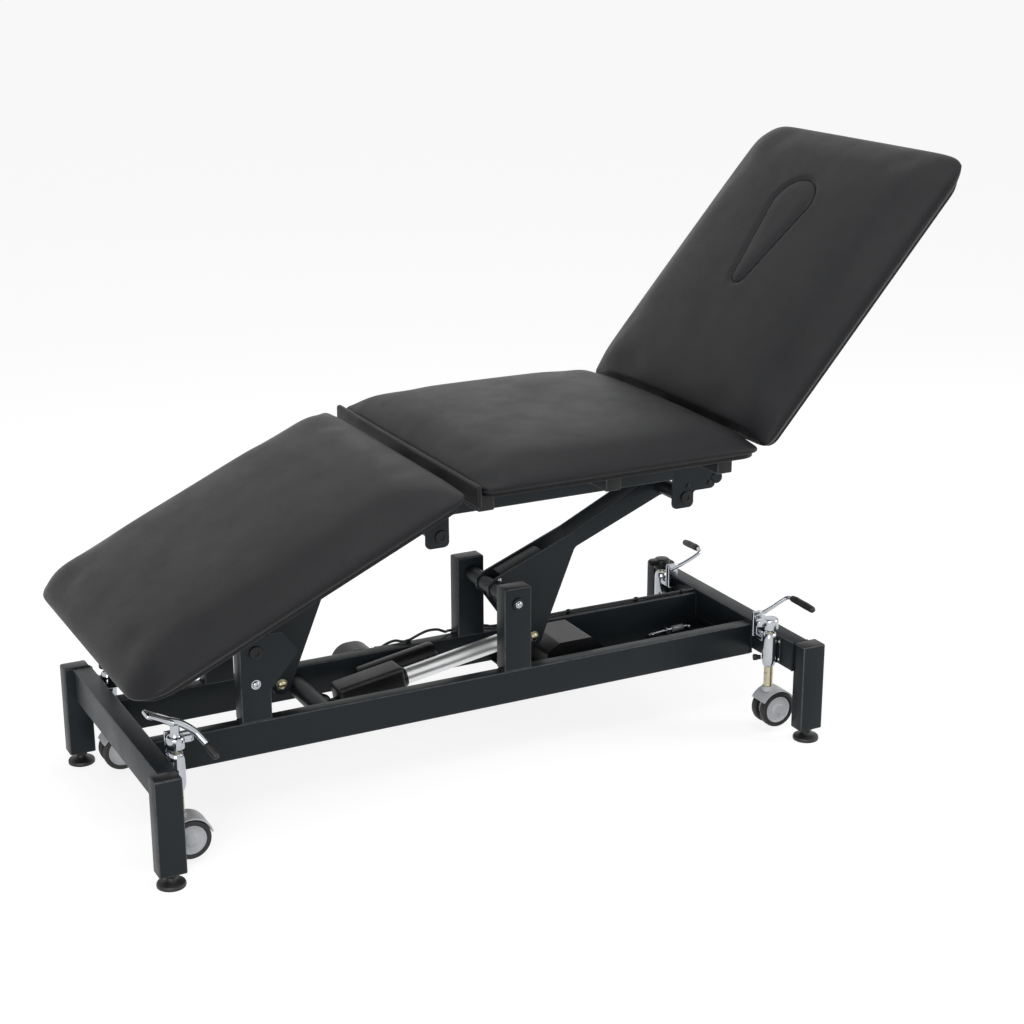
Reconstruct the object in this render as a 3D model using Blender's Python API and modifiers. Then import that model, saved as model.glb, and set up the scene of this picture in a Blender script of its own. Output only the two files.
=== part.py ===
"""Treatment table: three padded sections on a low steel base with a powered lift.

X runs along the table from the foot end to the head end, Y across it and Z up.
Places along the table are measured from the foot end of the base, places across it
from the centre line, and heights from the floor. Everything is in metres and degrees.
"""
from math import atan2, ceil, cos, degrees, hypot, pi, radians, sin, sqrt, tan

import bmesh
import bpy
from mathutils import Matrix, Vector

# Gaps
TOUCH_GAP = 0.0003
BORE_GAP = 0.0005
SIDE_GAP = 0.0020
OVERRUN = 0.0200

# Base frame
FOOT_END_X = -0.870
BASE_LENGTH = 1.490
BASE_WIDTH = 0.650
LEG_LENGTH = 0.055
LEG_WIDTH = 0.038
LEG_BOTTOM = 0.027
LEG_TOP = 0.222
CROSSBAR_DEPTH = 0.040
CROSSBAR_HEIGHT = 0.067
CROSSBAR_SETBACK = 0.0175
RAIL_WIDTH = 0.030
RAIL_HEIGHT = 0.0715
RAIL_DROP = 0.0085
RAIL_SPREAD = 0.260
STEEL_EDGE = 0.0022
UPRIGHT_LENGTH = 0.063
UPRIGHT_WIDTH = 0.038
UPRIGHT_ABOVE_PIVOT = 0.035

# Levelling feet
FOOT_PAD_RADIUS = 0.028
FOOT_PAD_HEIGHT = 0.011
FOOT_NECK_RADIUS = 0.010
FOOT_PAD_EDGE = 0.003

# Lift
FOOT_PIVOT_PLACE = 0.272
PIVOT_SPACING = 0.576
PIVOT_HEIGHT = 0.360
ARM_REACH = 0.400
ARM_RISE = 0.175
ARM_WIDTH = 0.060
ARM_PLATE = 0.005
TORQUE_TUBE_RADIUS = 0.017
PIN_RADIUS = 0.010
PIN_HEAD_RADIUS = 0.014
PIN_HEAD = 0.004
ARM_LOW_SIDE = 0.019
ARM_LOW_CORNER = 0.020
ARM_TOP_STEP = 0.024
ARM_TOP_MID = (0.184, 0.097)
ARM_BOSS_RADIUS = 0.024
ARM_LOW_END = (0.395, 0.144)
ARM_LOW_MID = (0.189, 0.065)
ARM_BEND_RADIUS = 0.018
ROD_PIN_PLACE = (0.089, -0.122)
GUSSET_RADIUS = 0.022
WEB_LENGTH = 0.105
ROD_PIN_RADIUS = 0.007
ROD_PIN_HEAD = 0.003
CHEEK_THICKNESS = 0.005
CHEEK_LEFT = 0.031
CHEEK_TOP = 0.032
CHEEK_TOP_REACH = 0.058
CHEEK_RIGHT = (0.089, -0.012)
CHEEK_FOOT = (-0.002, -0.066)
CHEEK_FOOT_RADIUS = 0.024
CHEEK_CORNER = 0.006
CHEEK_BOLT_RADIUS = 0.008
CHEEK_BOLT_HEIGHT = 0.005

# Actuator
CROSS_TUBE_PLACE = 0.437
CROSS_TUBE_RADIUS = 0.021
REAR_PIN_PLACE = (0.470, 0.162)
REAR_PIN_RADIUS = 0.006
LUG_RADIUS = 0.014
LUG_THICKNESS = 0.006
REAR_EYE_RADIUS = 0.013
REAR_EYE_WIDTH = 0.030
GEARBOX = (0.022, 0.170)
GEARBOX_WIDTH = 0.058
GEARBOX_BOTTOM = 0.028
GEARBOX_TOP = 0.034
GEARBOX_EDGE = 0.008
MOTOR_RADIUS = 0.029
MOTOR_LENGTH = 0.180
MOTOR_START = 0.095
MOTOR_OFFSET = 0.052
ACTUATOR_TUBE_RADIUS = 0.018
ACTUATOR_TUBE_END = 0.405
ACTUATOR_TUBE_WALL = 0.0055
ACTUATOR_ROD_RADIUS = 0.010
ACTUATOR_ROD_INSIDE = 0.170
ROD_EYE_RADIUS = 0.014
ROD_EYE_WIDTH = 0.020

# Tray, control box, cable
TRAY_START = 0.900
TRAY_THICKNESS = 0.003
TRAY_LIFT = 0.001
CONTROL_BOX_PLACE = 0.552
CONTROL_BOX_LENGTH = 0.093
CONTROL_BOX_WIDTH = 0.052
CONTROL_BOX_HEIGHT = 0.052
CONTROL_BOX_EDGE = 0.014
CABLE_RADIUS = 0.003
CABLE_ROUTE = (
    (0.6456, 0.1500, 0.1985), (0.6600, 0.1500, 0.2020), (0.6730, 0.1470, 0.2090),
    (0.6850, 0.1340, 0.2168), (0.6970, 0.1200, 0.2175), (0.7110, 0.1170, 0.2200),
    (0.7330, 0.1150, 0.2290), (0.7530, 0.1140, 0.2345), (0.7750, 0.1140, 0.2335),
    (0.7900, 0.1170, 0.2265), (0.8010, 0.1260, 0.2195), (0.8110, 0.1337, 0.2175),
    (0.8230, 0.1340, 0.2170), (0.8480, 0.1340, 0.2170), (0.8730, 0.1340, 0.2170),
    (0.8860, 0.1337, 0.2170), (0.9010, 0.1240, 0.2170), (0.9280, 0.1140, 0.2170))
CABLE_SWAY = 0.119
CABLE_SWAY_SHARE = 0.35
CABLE_END_SIDE = 0.112
CABLE_STEP = 0.018

# Foot switch
SWITCH_PLACE = 0.955
SWITCH_LENGTH = 0.150
SWITCH_HEIGHT = 0.078
SWITCH_WIDTH = 0.120
SWITCH_BACK_HEIGHT = 0.060
SWITCH_BACK_RUN = 0.030
SWITCH_FRONT_RUN = 0.042
SWITCH_FRONT_HEIGHT = 0.040
SWITCH_WALL = 0.004
SWITCH_MOUTH_HEIGHT = 0.030
SWITCH_CORNER = 0.008
PEDAL_LENGTH = 0.070
PEDAL_WIDTH = 0.090
PEDAL_THICKNESS = 0.008
PEDAL_HEIGHT = 0.010
PEDAL_AXLE_RADIUS = 0.003

# Castors
CASTOR_SIDE_SHARE = 0.6051
HOUSING_RADIUS = 0.016
HOUSING_BOTTOM = 0.152
HOUSING_TOP = 0.228
STEM_RADIUS = 0.010
STEM_BOTTOM = 0.105
STEM_TOP_DROP = 0.002
WHEEL_RADIUS = 0.040
WHEEL_HALF_WIDTH = 0.024
WHEEL_HEIGHT = 0.052
TRAIL = 0.014
TYRE_WIDTH = 0.017
TYRE_EDGE = 0.005
AXLE_RADIUS = 0.004
FORK_WEB = 0.010
FORK_BOSS_RADIUS = 0.011
FORK_NECK_RADIUS = 0.013
FORK_NECK_HEIGHT = 0.0112
HOOD_GAP = 0.0018
HOOD_WALL = 0.003
HOOD_START = 12.0
HOOD_END = 150.0
LEVER_HEIGHT = 0.245
LEVER_CAP_RADIUS = 0.018
LEVER_CAP_BOTTOM = 0.238
LEVER_CAP_TOP = 0.262
LEVER_NOSE = 0.036
LEVER_NOSE_RADIUS = 0.009
LEVER_SHAFT_RADIUS = 0.006
BRACKET_THICKNESS = 0.005
BRACKET_INSET = 0.035
BRACKET_HALF_LENGTH = 0.011
BRACKET_LIFT = 0.013
BRACKET_WEB_HEIGHT = 0.010
BLADE_INSET = 0.050
BLADE_THICKNESS = 0.006
BLADE_LENGTH = 0.024
BLADE_BOTTOM = 0.205
HEAD_ARM_RADIUS = 0.0045
HEAD_GRIP_RADIUS = 0.008
HEAD_ARM = ((-0.005, -0.050, 0.250), (0.030, -0.050, 0.260), (0.066, -0.050, 0.275),
            (0.075, -0.045, 0.281), (0.078, -0.033, 0.283), (0.081, -0.013, 0.281))
HEAD_GRIP = ((0.0785, -0.029, 0.2828), (0.0815, -0.009, 0.281), (0.0855, 0.032, 0.277))
FOOT_ARM_RADIUS = 0.007
FOOT_TIP_RADIUS = 0.008
FOOT_ARM = ((-0.040, 0, 0.3085), (-0.018, 0, 0.2975), (0.010, 0, 0.286),
            (0.036, 0.005, 0.266), (0.050, 0.017, 0.248), (0.056, 0.027, 0.238))
FOOT_TIP = ((0.0545, 0.024, 0.2405), (0.0625, 0.042, 0.225))
FOOT_SPOON_PLACE = (-0.030, 0.304)
FOOT_SPOON_LENGTH = 0.056
FOOT_SPOON_WIDTH = 0.028
FOOT_SPOON_THICKNESS = 0.009
FOOT_SPOON_SLOPE = 27.0
FOOT_POST_RADIUS = 0.009

# Seat frame
SEAT_RAIL_START = 0.680
SEAT_RAIL_END = 1.300
SEAT_RAIL_ABOVE_PIVOT = 0.042
SEAT_RAIL_HEIGHT = 0.050
SEAT_RAIL_WIDTH = 0.030
SEAT_RAIL_SPREAD = 0.270
SEAT_BAR_HEIGHT = 0.0425
SEAT_BAR_DEPTH = 0.035
SEAT_BAR_HALF_LENGTH = 0.300
SEAT_BAR_PLACES = (0.682, 0.965, 1.228)
TAB_THICKNESS = 0.006
TAB_LEFT = 0.033
TAB_RIGHT = 0.018
TAB_BOTTOM = 0.023
TAB_CORNER = 0.010
HEAD_TAB_REACH = 0.072
HEAD_TAB_LIFT = 0.012
STUB_RADIUS = 0.013
STUB_WIDTH = 0.012
STUB_PLACE = (0.076, 0.034)
SPRING_BLOCK_PLACE = 0.930
SPRING_BLOCK_DEPTH = 0.020
HINGE_PIN_RADIUS = 0.008
HINGE_BOSS_RADIUS = 0.014
HINGE_LUG_THICKNESS = 0.012
HINGE_LUG_INSIDE = 0.112
HINGE_LUG_ROOT = 0.045
HINGE_SLEEVE_RADIUS = 0.013

# Leg and back sections
LEG_HINGE_PLACE = 0.655
LEG_HINGE_RISE = 0.063
LEG_ANGLE = 24.5
LEG_RAISE = 34.5
BACK_HINGE_PLACE = 1.310
BACK_HINGE_RISE = 0.087
BACK_ANGLE = 48.9
BACK_MAX_ANGLE = 66.0
SECTION_BAR_SPREAD = 0.400
SECTION_BAR_WIDTH = 0.030
SECTION_BAR_HEIGHT = 0.0252
SECTION_BAR_START = 0.045
SECTION_BAR_END = 0.620
SECTION_CROSS_DEPTH = 0.030
LEG_BAR_BOTTOM = 0.0045
BACK_BAR_TOP = 0.0042
NECK_PLACE = 0.080
NECK_THICKNESS = 0.008
LEG_CRANK = 0.040
BACK_CRANK = 0.060
CRANK_GAP = 0.016
CRANK_THICKNESS = 0.006
CRANK_END_RADIUS = 0.010
SPRING_SPREAD = 0.100
SPRING_RADIUS = 0.010
SPRING_ROD_RADIUS = 0.004
SPRING_EYE_RADIUS = 0.009
SPRING_EYE_WIDTH = 0.012
LEG_SPRING_MOUTH = 0.740
BACK_SPRING_MOUTH = 1.190
SPRING_ROD_INSIDE = 0.075
SPRING_END_WALL = 0.012

# Cushions
CUSHION_WIDTH = 0.700
SEAT_CUSHION_START = 0.662
SEAT_CUSHION_END = 1.285
SEAT_CUSHION_THICKNESS = 0.038
SEAT_CROWN = 0.026
LEG_CUSHION_NEAR = 0.020
LEG_CUSHION_FAR = 0.720
LEG_CUSHION_BOTTOM = 0.030
LEG_CUSHION_THICKNESS = 0.048
LEG_CROWN = 0.022
BACK_CUSHION_NEAR = 0.028
BACK_CUSHION_FAR = 0.722
BACK_CUSHION_BOTTOM = 0.0045
BACK_CUSHION_THICKNESS = 0.052
BACK_CROWN = 0.020
CUSHION_EDGE = 0.016
CUSHION_DRAW_IN = 0.014
CUSHION_TOP_IN = 0.004
CUSHION_SHRINK = 0.0027
CUSHION_CORNER = 0.034
FOOT_CORNER = 0.068
CUSHION_CELLS = 4
PLUG_NARROW_PLACE = 0.335
PLUG_WIDE_PLACE = 0.525
PLUG_NARROW_RADIUS = 0.024
PLUG_WIDE_RADIUS = 0.064
PLUG_OFFSET = 0.012
PLUG_GAP = 0.0006
STRIP_WIDTH = 0.013
STRIP_DROP = 0.010
STRIP_RISE = 0.030
STRIP_INSET = 0.006
STRIP_EDGE = 0.004

# Facets
ROUND_SIDES = 14
SMALL_SIDES = 10
WHEEL_SIDES = 16
STEP_PARTS = 6
ARC_STEPS = 3
BOSS_STEPS = 6
GUSSET_STEPS = 5
HOOD_STEPS = 8
WEB_STEPS = 4
PLUG_WIDE_STEPS = 14

# Places worked out from the sizes above
CROSSBAR_BOTTOM = LEG_TOP - CROSSBAR_HEIGHT
RAIL_TOP = LEG_TOP - RAIL_DROP
RAIL_BOTTOM = RAIL_TOP - RAIL_HEIGHT
RAIL_MIDDLE = (RAIL_TOP + RAIL_BOTTOM) / 2
RAIL_OUTSIDE = RAIL_SPREAD / 2
RAIL_INSIDE = RAIL_OUTSIDE - RAIL_WIDTH
UPRIGHT_INSIDE = RAIL_OUTSIDE - UPRIGHT_WIDTH
FOOT_BAR_FACE = CROSSBAR_SETBACK + CROSSBAR_DEPTH
HEAD_BAR_FACE = BASE_LENGTH - FOOT_BAR_FACE
FOOT_CASTOR = FOOT_BAR_FACE + HOUSING_RADIUS + SIDE_GAP
HEAD_CASTOR = HEAD_BAR_FACE - HOUSING_RADIUS - SIDE_GAP
LEG_INSIDE = BASE_WIDTH / 2 - LEG_WIDTH
CASTOR_SIDE = RAIL_OUTSIDE + (LEG_INSIDE - RAIL_OUTSIDE) * CASTOR_SIDE_SHARE
BRACKET_PLACE = CASTOR_SIDE - BRACKET_INSET
BLADE_PLACE = CASTOR_SIDE - BLADE_INSET
UPRIGHT_TOP = PIVOT_HEIGHT + UPRIGHT_ABOVE_PIVOT
FOOT_PIVOT = Vector((FOOT_PIVOT_PLACE, 0, PIVOT_HEIGHT))
HEAD_PIVOT = Vector((FOOT_PIVOT_PLACE + PIVOT_SPACING, 0, PIVOT_HEIGHT))
ARM = Vector((ARM_REACH, 0, ARM_RISE))
FOOT_TOP_PIVOT = FOOT_PIVOT + ARM
HEAD_TOP_PIVOT = HEAD_PIVOT + ARM
ROD_PIN = HEAD_PIVOT + Vector((ROD_PIN_PLACE[0], 0, ROD_PIN_PLACE[1]))
REAR_PIN = Vector((REAR_PIN_PLACE[0], 0, REAR_PIN_PLACE[1]))
ACTUATOR_LENGTH = (ROD_PIN - REAR_PIN).length
ACTUATOR_SLOPE = atan2(ROD_PIN.z - REAR_PIN.z, ROD_PIN.x - REAR_PIN.x)
SEAT_RAIL_OUTSIDE = SEAT_RAIL_SPREAD / 2
SEAT_RAIL_INSIDE = SEAT_RAIL_OUTSIDE - SEAT_RAIL_WIDTH
SEAT_RAIL_BOTTOM = PIVOT_HEIGHT + ARM_RISE + SEAT_RAIL_ABOVE_PIVOT
SEAT_RAIL_TOP = SEAT_RAIL_BOTTOM + SEAT_RAIL_HEIGHT
SEAT_CUSHION_BOTTOM = SEAT_RAIL_TOP + SEAT_BAR_HEIGHT + BORE_GAP
STRIP_BOTTOM = SEAT_CUSHION_BOTTOM - STRIP_DROP
STRIP_TOP = SEAT_CUSHION_BOTTOM + STRIP_RISE
LEG_HINGE = (LEG_HINGE_PLACE, SEAT_RAIL_BOTTOM + LEG_HINGE_RISE)
BACK_HINGE = (BACK_HINGE_PLACE, SEAT_RAIL_BOTTOM + BACK_HINGE_RISE)
TAB_INSIDE = SEAT_RAIL_OUTSIDE - TAB_THICKNESS
SECTION_BAR_SIDE = SECTION_BAR_SPREAD / 2
SPRING_SIDE = SPRING_SPREAD / 2
LEG_CRANK_REST = radians(LEG_RAISE / 2)
BACK_CRANK_REST = radians(BACK_ANGLE - BACK_MAX_ANGLE / 2)
LEG_CRANK_END = Vector((LEG_HINGE[0] + LEG_CRANK * sin(LEG_CRANK_REST), -SPRING_SIDE,
                        LEG_HINGE[1] - LEG_CRANK * cos(LEG_CRANK_REST)))
BACK_CRANK_END = Vector((BACK_HINGE[0] + BACK_CRANK * sin(BACK_CRANK_REST), SPRING_SIDE,
                         BACK_HINGE[1] - BACK_CRANK * cos(BACK_CRANK_REST)))

# Colours, roughness and metallic value of each kind of surface
POWDER = ((0.012, 0.013, 0.015), 0.42, 0.0)
PLASTIC = ((0.010, 0.010, 0.011), 0.50, 0.0)
VINYL = ((0.016, 0.016, 0.018), 0.55, 0.0)
CHROME = ((0.72, 0.73, 0.75), 0.12, 1.0)
SILVER = ((0.58, 0.59, 0.60), 0.32, 1.0)
ZINC = ((0.60, 0.50, 0.28), 0.35, 1.0)
GREY = ((0.52, 0.53, 0.54), 0.45, 0.0)
RUBBER = ((0.014, 0.014, 0.014), 0.75, 0.0)

PARTS = "treatment_table"
GUIDES = "guides"
ORIGINS = {}


def clear_scene():
    """Remove what the file holds already."""
    for item in list(bpy.data.objects):
        bpy.data.objects.remove(item, do_unlink=True)


def collection(name):
    """The named collection, made when it is first asked for."""
    if name not in bpy.data.collections:
        made = bpy.data.collections.new(name)
        bpy.context.scene.collection.children.link(made)
    return bpy.data.collections[name]


def pivot(name, place, parent=None, turn=0.0):
    """An empty on a joint's axis. Pieces of a turned pivot are drawn in its own frame."""
    empty = bpy.data.objects.new(name, None)
    collection(PARTS).objects.link(empty)
    start = Vector(place)
    if parent:
        empty.parent = parent
        start = start - ORIGINS[parent.name]
    empty.location = start
    empty.rotation_euler = (0, turn, 0)
    ORIGINS[empty.name] = Vector((0, 0, 0)) if turn or not parent else Vector(place)
    return empty


def attach(piece, body):
    """Hang a piece on a body, with its mesh as it is drawn."""
    piece.parent = body
    piece.matrix_parent_inverse = Matrix.Translation(-ORIGINS[body.name])
    return piece


def finish(piece, name, look):
    """Name a piece and give it its own material."""
    piece.name = name
    piece.data.name = name
    colour, roughness, metallic = look
    made = bpy.data.materials.new(name)
    made.use_nodes = True
    shader = made.node_tree.nodes["Principled BSDF"]
    shader.inputs["Base Color"].default_value = (*colour, 1.0)
    shader.inputs["Roughness"].default_value = roughness
    shader.inputs["Metallic"].default_value = metallic
    made.diffuse_color = (*colour, 1.0)
    piece.data.materials.clear()
    piece.data.materials.append(made)
    return piece


def mesh_object(name, bm, body):
    """An object from a bmesh, linked and hung on its body."""
    mesh = bpy.data.meshes.new(name)
    bm.normal_update()
    bm.to_mesh(mesh)
    bm.free()
    made = bpy.data.objects.new(name, mesh)
    collection(PARTS).objects.link(made)
    return attach(made, body)


def block(body, x, y, z, edge=0.0, turn=None, segments=1):
    """A box between two places on each axis, with rounded edges when asked."""
    middle = Vector((sum(x) / 2, sum(y) / 2, sum(z) / 2))
    size = Vector((abs(x[1] - x[0]), abs(y[1] - y[0]), abs(z[1] - z[0])))
    bm = bmesh.new()
    bmesh.ops.create_cube(bm, size=1)
    bmesh.ops.scale(bm, vec=size, verts=bm.verts)
    if turn:
        bmesh.ops.rotate(bm, cent=(0, 0, 0), matrix=turn, verts=bm.verts)
    bmesh.ops.translate(bm, vec=middle, verts=bm.verts)
    made = mesh_object("block", bm, body)
    if edge:
        bevel = made.modifiers.new("Rounded edges", "BEVEL")
        bevel.width = edge
        bevel.segments = segments
    return made


def rod(body, start, end, radius, sides=ROUND_SIDES, end_radius=None):
    """A cylinder or cone from one point to another."""
    first = Vector(start)
    run = Vector(end) - first
    bm = bmesh.new()
    bmesh.ops.create_cone(bm, cap_ends=True, segments=sides, radius1=radius,
                          radius2=radius if end_radius is None else end_radius,
                          depth=run.length)
    turn = Vector((0, 0, 1)).rotation_difference(run.normalized()).to_matrix()
    bmesh.ops.rotate(bm, cent=(0, 0, 0), matrix=turn, verts=bm.verts)
    bmesh.ops.translate(bm, vec=first + run / 2, verts=bm.verts)
    return mesh_object("rod", bm, body)


def cross_rod(body, x, z, y, radius, sides=ROUND_SIDES):
    """A cylinder along Y at one place of the side view."""
    return rod(body, (x, y[0], z), (x, y[1], z), radius, sides)


def rounded(corners, steps=ARC_STEPS):
    """An outline through corners (x, z, radius), with an arc at each rounded corner."""
    outline = []
    count = len(corners)
    for index, (x, z, radius) in enumerate(corners):
        here = Vector((x, z))
        before = (Vector(corners[index - 1][:2]) - here).normalized()
        after = (Vector(corners[(index + 1) % count][:2]) - here).normalized()
        if not radius:
            outline.append(here)
            continue
        half = before.angle(after) / 2
        centre = here + (before + after).normalized() * (radius / sin(half))
        first = here + before * (radius / tan(half)) - centre
        last = here + after * (radius / tan(half)) - centre
        sweep = first.angle_signed(last)
        for step in range(steps + 1):
            angle = -sweep * step / steps
            outline.append(centre + Matrix.Rotation(angle, 2) @ first)
    return outline


def arc(centre, radius, start, end, steps=ARC_STEPS):
    """Points on a circle between two angles in degrees."""
    angles = [radians(start + (end - start) * step / steps) for step in range(steps + 1)]
    return [Vector((centre[0] + radius * cos(a), centre[1] + radius * sin(a))) for a in angles]


def curve_object(name, body, splines, thickness=0.0):
    """A flat 2D curve filled on both faces and extruded by half its thickness."""
    curve = bpy.data.curves.new(name, "CURVE")
    curve.dimensions = "2D"
    curve.fill_mode = "BOTH"
    curve.extrude = thickness / 2
    for points in splines:
        spline = curve.splines.new("POLY")
        spline.points.add(len(points) - 1)
        spline.use_cyclic_u = True
        for point, place in zip(spline.points, points):
            point.co = (place[0], place[1], 0, 1)
    made = bpy.data.objects.new(name, curve)
    collection(PARTS).objects.link(made)
    return attach(made, body)


def as_mesh(piece, sharpness=radians(40)):
    """Swap a curve object for a mesh object in the same place, with welded caps."""
    bpy.context.view_layer.update()
    graph = bpy.context.evaluated_depsgraph_get()
    mesh = bpy.data.meshes.new_from_object(piece.evaluated_get(graph))
    bm = bmesh.new()
    bm.from_mesh(mesh)
    bmesh.ops.remove_doubles(bm, verts=bm.verts, dist=TOUCH_GAP / 10)
    bmesh.ops.recalc_face_normals(bm, faces=bm.faces)
    bm.to_mesh(mesh)
    bm.free()
    mesh.shade_smooth()
    mesh.set_sharp_from_angle(angle=sharpness)
    made = bpy.data.objects.new(piece.name, mesh)
    collection(PARTS).objects.link(made)
    made.parent = piece.parent
    made.matrix_parent_inverse = piece.matrix_parent_inverse.copy()
    made.matrix_world = piece.matrix_world.copy()
    bpy.data.objects.remove(piece, do_unlink=True)
    return made


def side_plate(body, outline, y):
    """A flat plate in the side view between two places across the table."""
    made = curve_object("plate", body, [outline], abs(y[1] - y[0]))
    made.location = (0, (y[0] + y[1]) / 2, 0)
    made.rotation_euler = (radians(90), 0, 0)
    return as_mesh(made)


def flat_plate(body, outline, z):
    """A flat plate in the plan view between two heights."""
    made = curve_object("plate", body, [outline], abs(z[1] - z[0]))
    made.location = (0, 0, (z[0] + z[1]) / 2)
    return as_mesh(made)


def turned(body, profile, place, along_y=False, sides=ROUND_SIDES):
    """A profile of (radius, height), top to bottom, turned about its axis."""
    bm = bmesh.new()
    corners = [bm.verts.new((radius, 0, height)) for radius, height in profile]
    for upper, lower in zip(corners, corners[1:]):
        bm.edges.new((upper, lower))
    made = mesh_object("turned", bm, body)
    screw = made.modifiers.new("Turn", "SCREW")
    screw.steps = sides
    screw.render_steps = sides
    screw.use_merge_vertices = True
    screw.merge_threshold = TOUCH_GAP / 10
    made.location = place
    if along_y:
        made.rotation_euler = (radians(90), 0, 0)
    return made


def wire(body, points, radius, resolution=1):
    """A round bar through a list of points, as a closed mesh."""
    curve = bpy.data.curves.new("wire", "CURVE")
    curve.dimensions = "3D"
    curve.bevel_depth = radius
    curve.bevel_resolution = resolution
    curve.use_fill_caps = True
    spline = curve.splines.new("POLY")
    spline.points.add(len(points) - 1)
    for point, place in zip(spline.points, points):
        point.co = (*place, 1)
    made = bpy.data.objects.new("wire", curve)
    collection(PARTS).objects.link(made)
    return as_mesh(attach(made, body))


def smooth_route(points, step):
    """Evenly spaced points on a smooth curve through the route's own points."""
    knots = [Vector(point) for point in points]
    padded = [2 * knots[0] - knots[1]] + knots + [2 * knots[-1] - knots[-2]]
    dense = []
    for a, b, c, d in zip(padded, padded[1:], padded[2:], padded[3:]):
        parts = ceil(STEP_PARTS * (c - b).length / step)
        for index in range(parts):
            t = index / parts
            dense.append(0.5 * (2 * b + (c - a) * t + (2 * a - 5 * b + 4 * c - d) * t ** 2
                                + (3 * b - a - 3 * c + d) * t ** 3))
    dense.append(knots[-1])
    spaced = [dense[0]]
    for point in dense[1:-1]:
        near_last = (point - spaced[-1]).length < step
        near_end = (point - dense[-1]).length < step / 2
        if not near_last and not near_end:
            spaced.append(point)
    return spaced + [dense[-1]]


def combine(piece, others, operation):
    """Join others to a piece, or cut them out of it, with exact Booleans."""
    for other in others:
        step = piece.modifiers.new(operation.title(), "BOOLEAN")
        step.operation = operation
        step.solver = "EXACT"
        step.object = other
        other.hide_render = True
        other.display_type = "WIRE"
        for held in list(other.users_collection):
            held.objects.unlink(other)
        collection(GUIDES).objects.link(other)
    return piece


def fuse(piece, *others):
    """One solid from several."""
    return combine(piece, others, "UNION")


def cut(piece, *others):
    """A solid with others cut out of it."""
    return combine(piece, others, "DIFFERENCE")


def bore(body, x, z, radius):
    """A cutter along Y through the whole table."""
    reach = BASE_WIDTH / 2 + OVERRUN
    return cross_rod(body, x, z, (-reach, reach), radius)


def side_words():
    """Near side first, with the sign of its Y."""
    return (("near", -1), ("far", 1))


def end_words():
    """Foot end first, with the sign that points away from the table's middle."""
    return (("foot", -1), ("head", 1))


def base_frame(base):
    """Two end frames of legs and a crossbar, two rails and four uprights."""
    for end, sign in end_words():
        face = 0 if sign < 0 else BASE_LENGTH
        legs = []
        for side, across in side_words():
            outside = across * BASE_WIDTH / 2
            legs.append(block(base, (face, face - sign * LEG_LENGTH),
                              (outside, outside - across * LEG_WIDTH),
                              (LEG_BOTTOM, LEG_TOP), STEEL_EDGE))
        bar_reach = BASE_WIDTH / 2 - LEG_WIDTH + LEG_WIDTH / 2
        bar = block(base, (face - sign * CROSSBAR_SETBACK,
                           face - sign * (CROSSBAR_SETBACK + CROSSBAR_DEPTH)),
                    (-bar_reach, bar_reach), (CROSSBAR_BOTTOM, LEG_TOP - TOUCH_GAP), STEEL_EDGE)
        finish(fuse(bar, *legs), f"base_end_frame_{end}", POWDER)
    for side, across in side_words():
        rail = block(base, (FOOT_BAR_FACE + TOUCH_GAP, HEAD_BAR_FACE - TOUCH_GAP),
                     (across * RAIL_INSIDE, across * RAIL_OUTSIDE),
                     (RAIL_BOTTOM, RAIL_TOP), STEEL_EDGE)
        finish(rail, f"base_rail_{side}", POWDER)
        for end, place in (("foot", FOOT_PIVOT), ("head", HEAD_PIVOT)):
            upright = block(base, (place.x - UPRIGHT_LENGTH / 2, place.x + UPRIGHT_LENGTH / 2),
                            (across * UPRIGHT_INSIDE, across * RAIL_OUTSIDE),
                            (RAIL_TOP + TOUCH_GAP, UPRIGHT_TOP), STEEL_EDGE)
            cut(upright, bore(base, place.x, place.z, PIN_RADIUS + BORE_GAP))
            finish(upright, f"upright_{end}_{side}", POWDER)


def levelling_feet(base):
    """A turned rubber pad under each leg."""
    top = LEG_BOTTOM - TOUCH_GAP
    profile = ((0, top), (FOOT_NECK_RADIUS, top), (FOOT_NECK_RADIUS, FOOT_PAD_HEIGHT),
               (FOOT_PAD_RADIUS - FOOT_PAD_EDGE, FOOT_PAD_HEIGHT),
               (FOOT_PAD_RADIUS, FOOT_PAD_HEIGHT - FOOT_PAD_EDGE), (FOOT_PAD_RADIUS, 0), (0, 0))
    for end, sign in end_words():
        centre = LEG_LENGTH / 2 if sign < 0 else BASE_LENGTH - LEG_LENGTH / 2
        for side, across in side_words():
            place = (centre, across * (BASE_WIDTH - LEG_WIDTH) / 2, 0)
            turn_axis = pivot(f"levelling_foot_axis_{end}_{side}", place, base)
            foot = turned(turn_axis, profile, place)
            finish(foot, f"levelling_foot_{end}_{side}", RUBBER)


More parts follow.
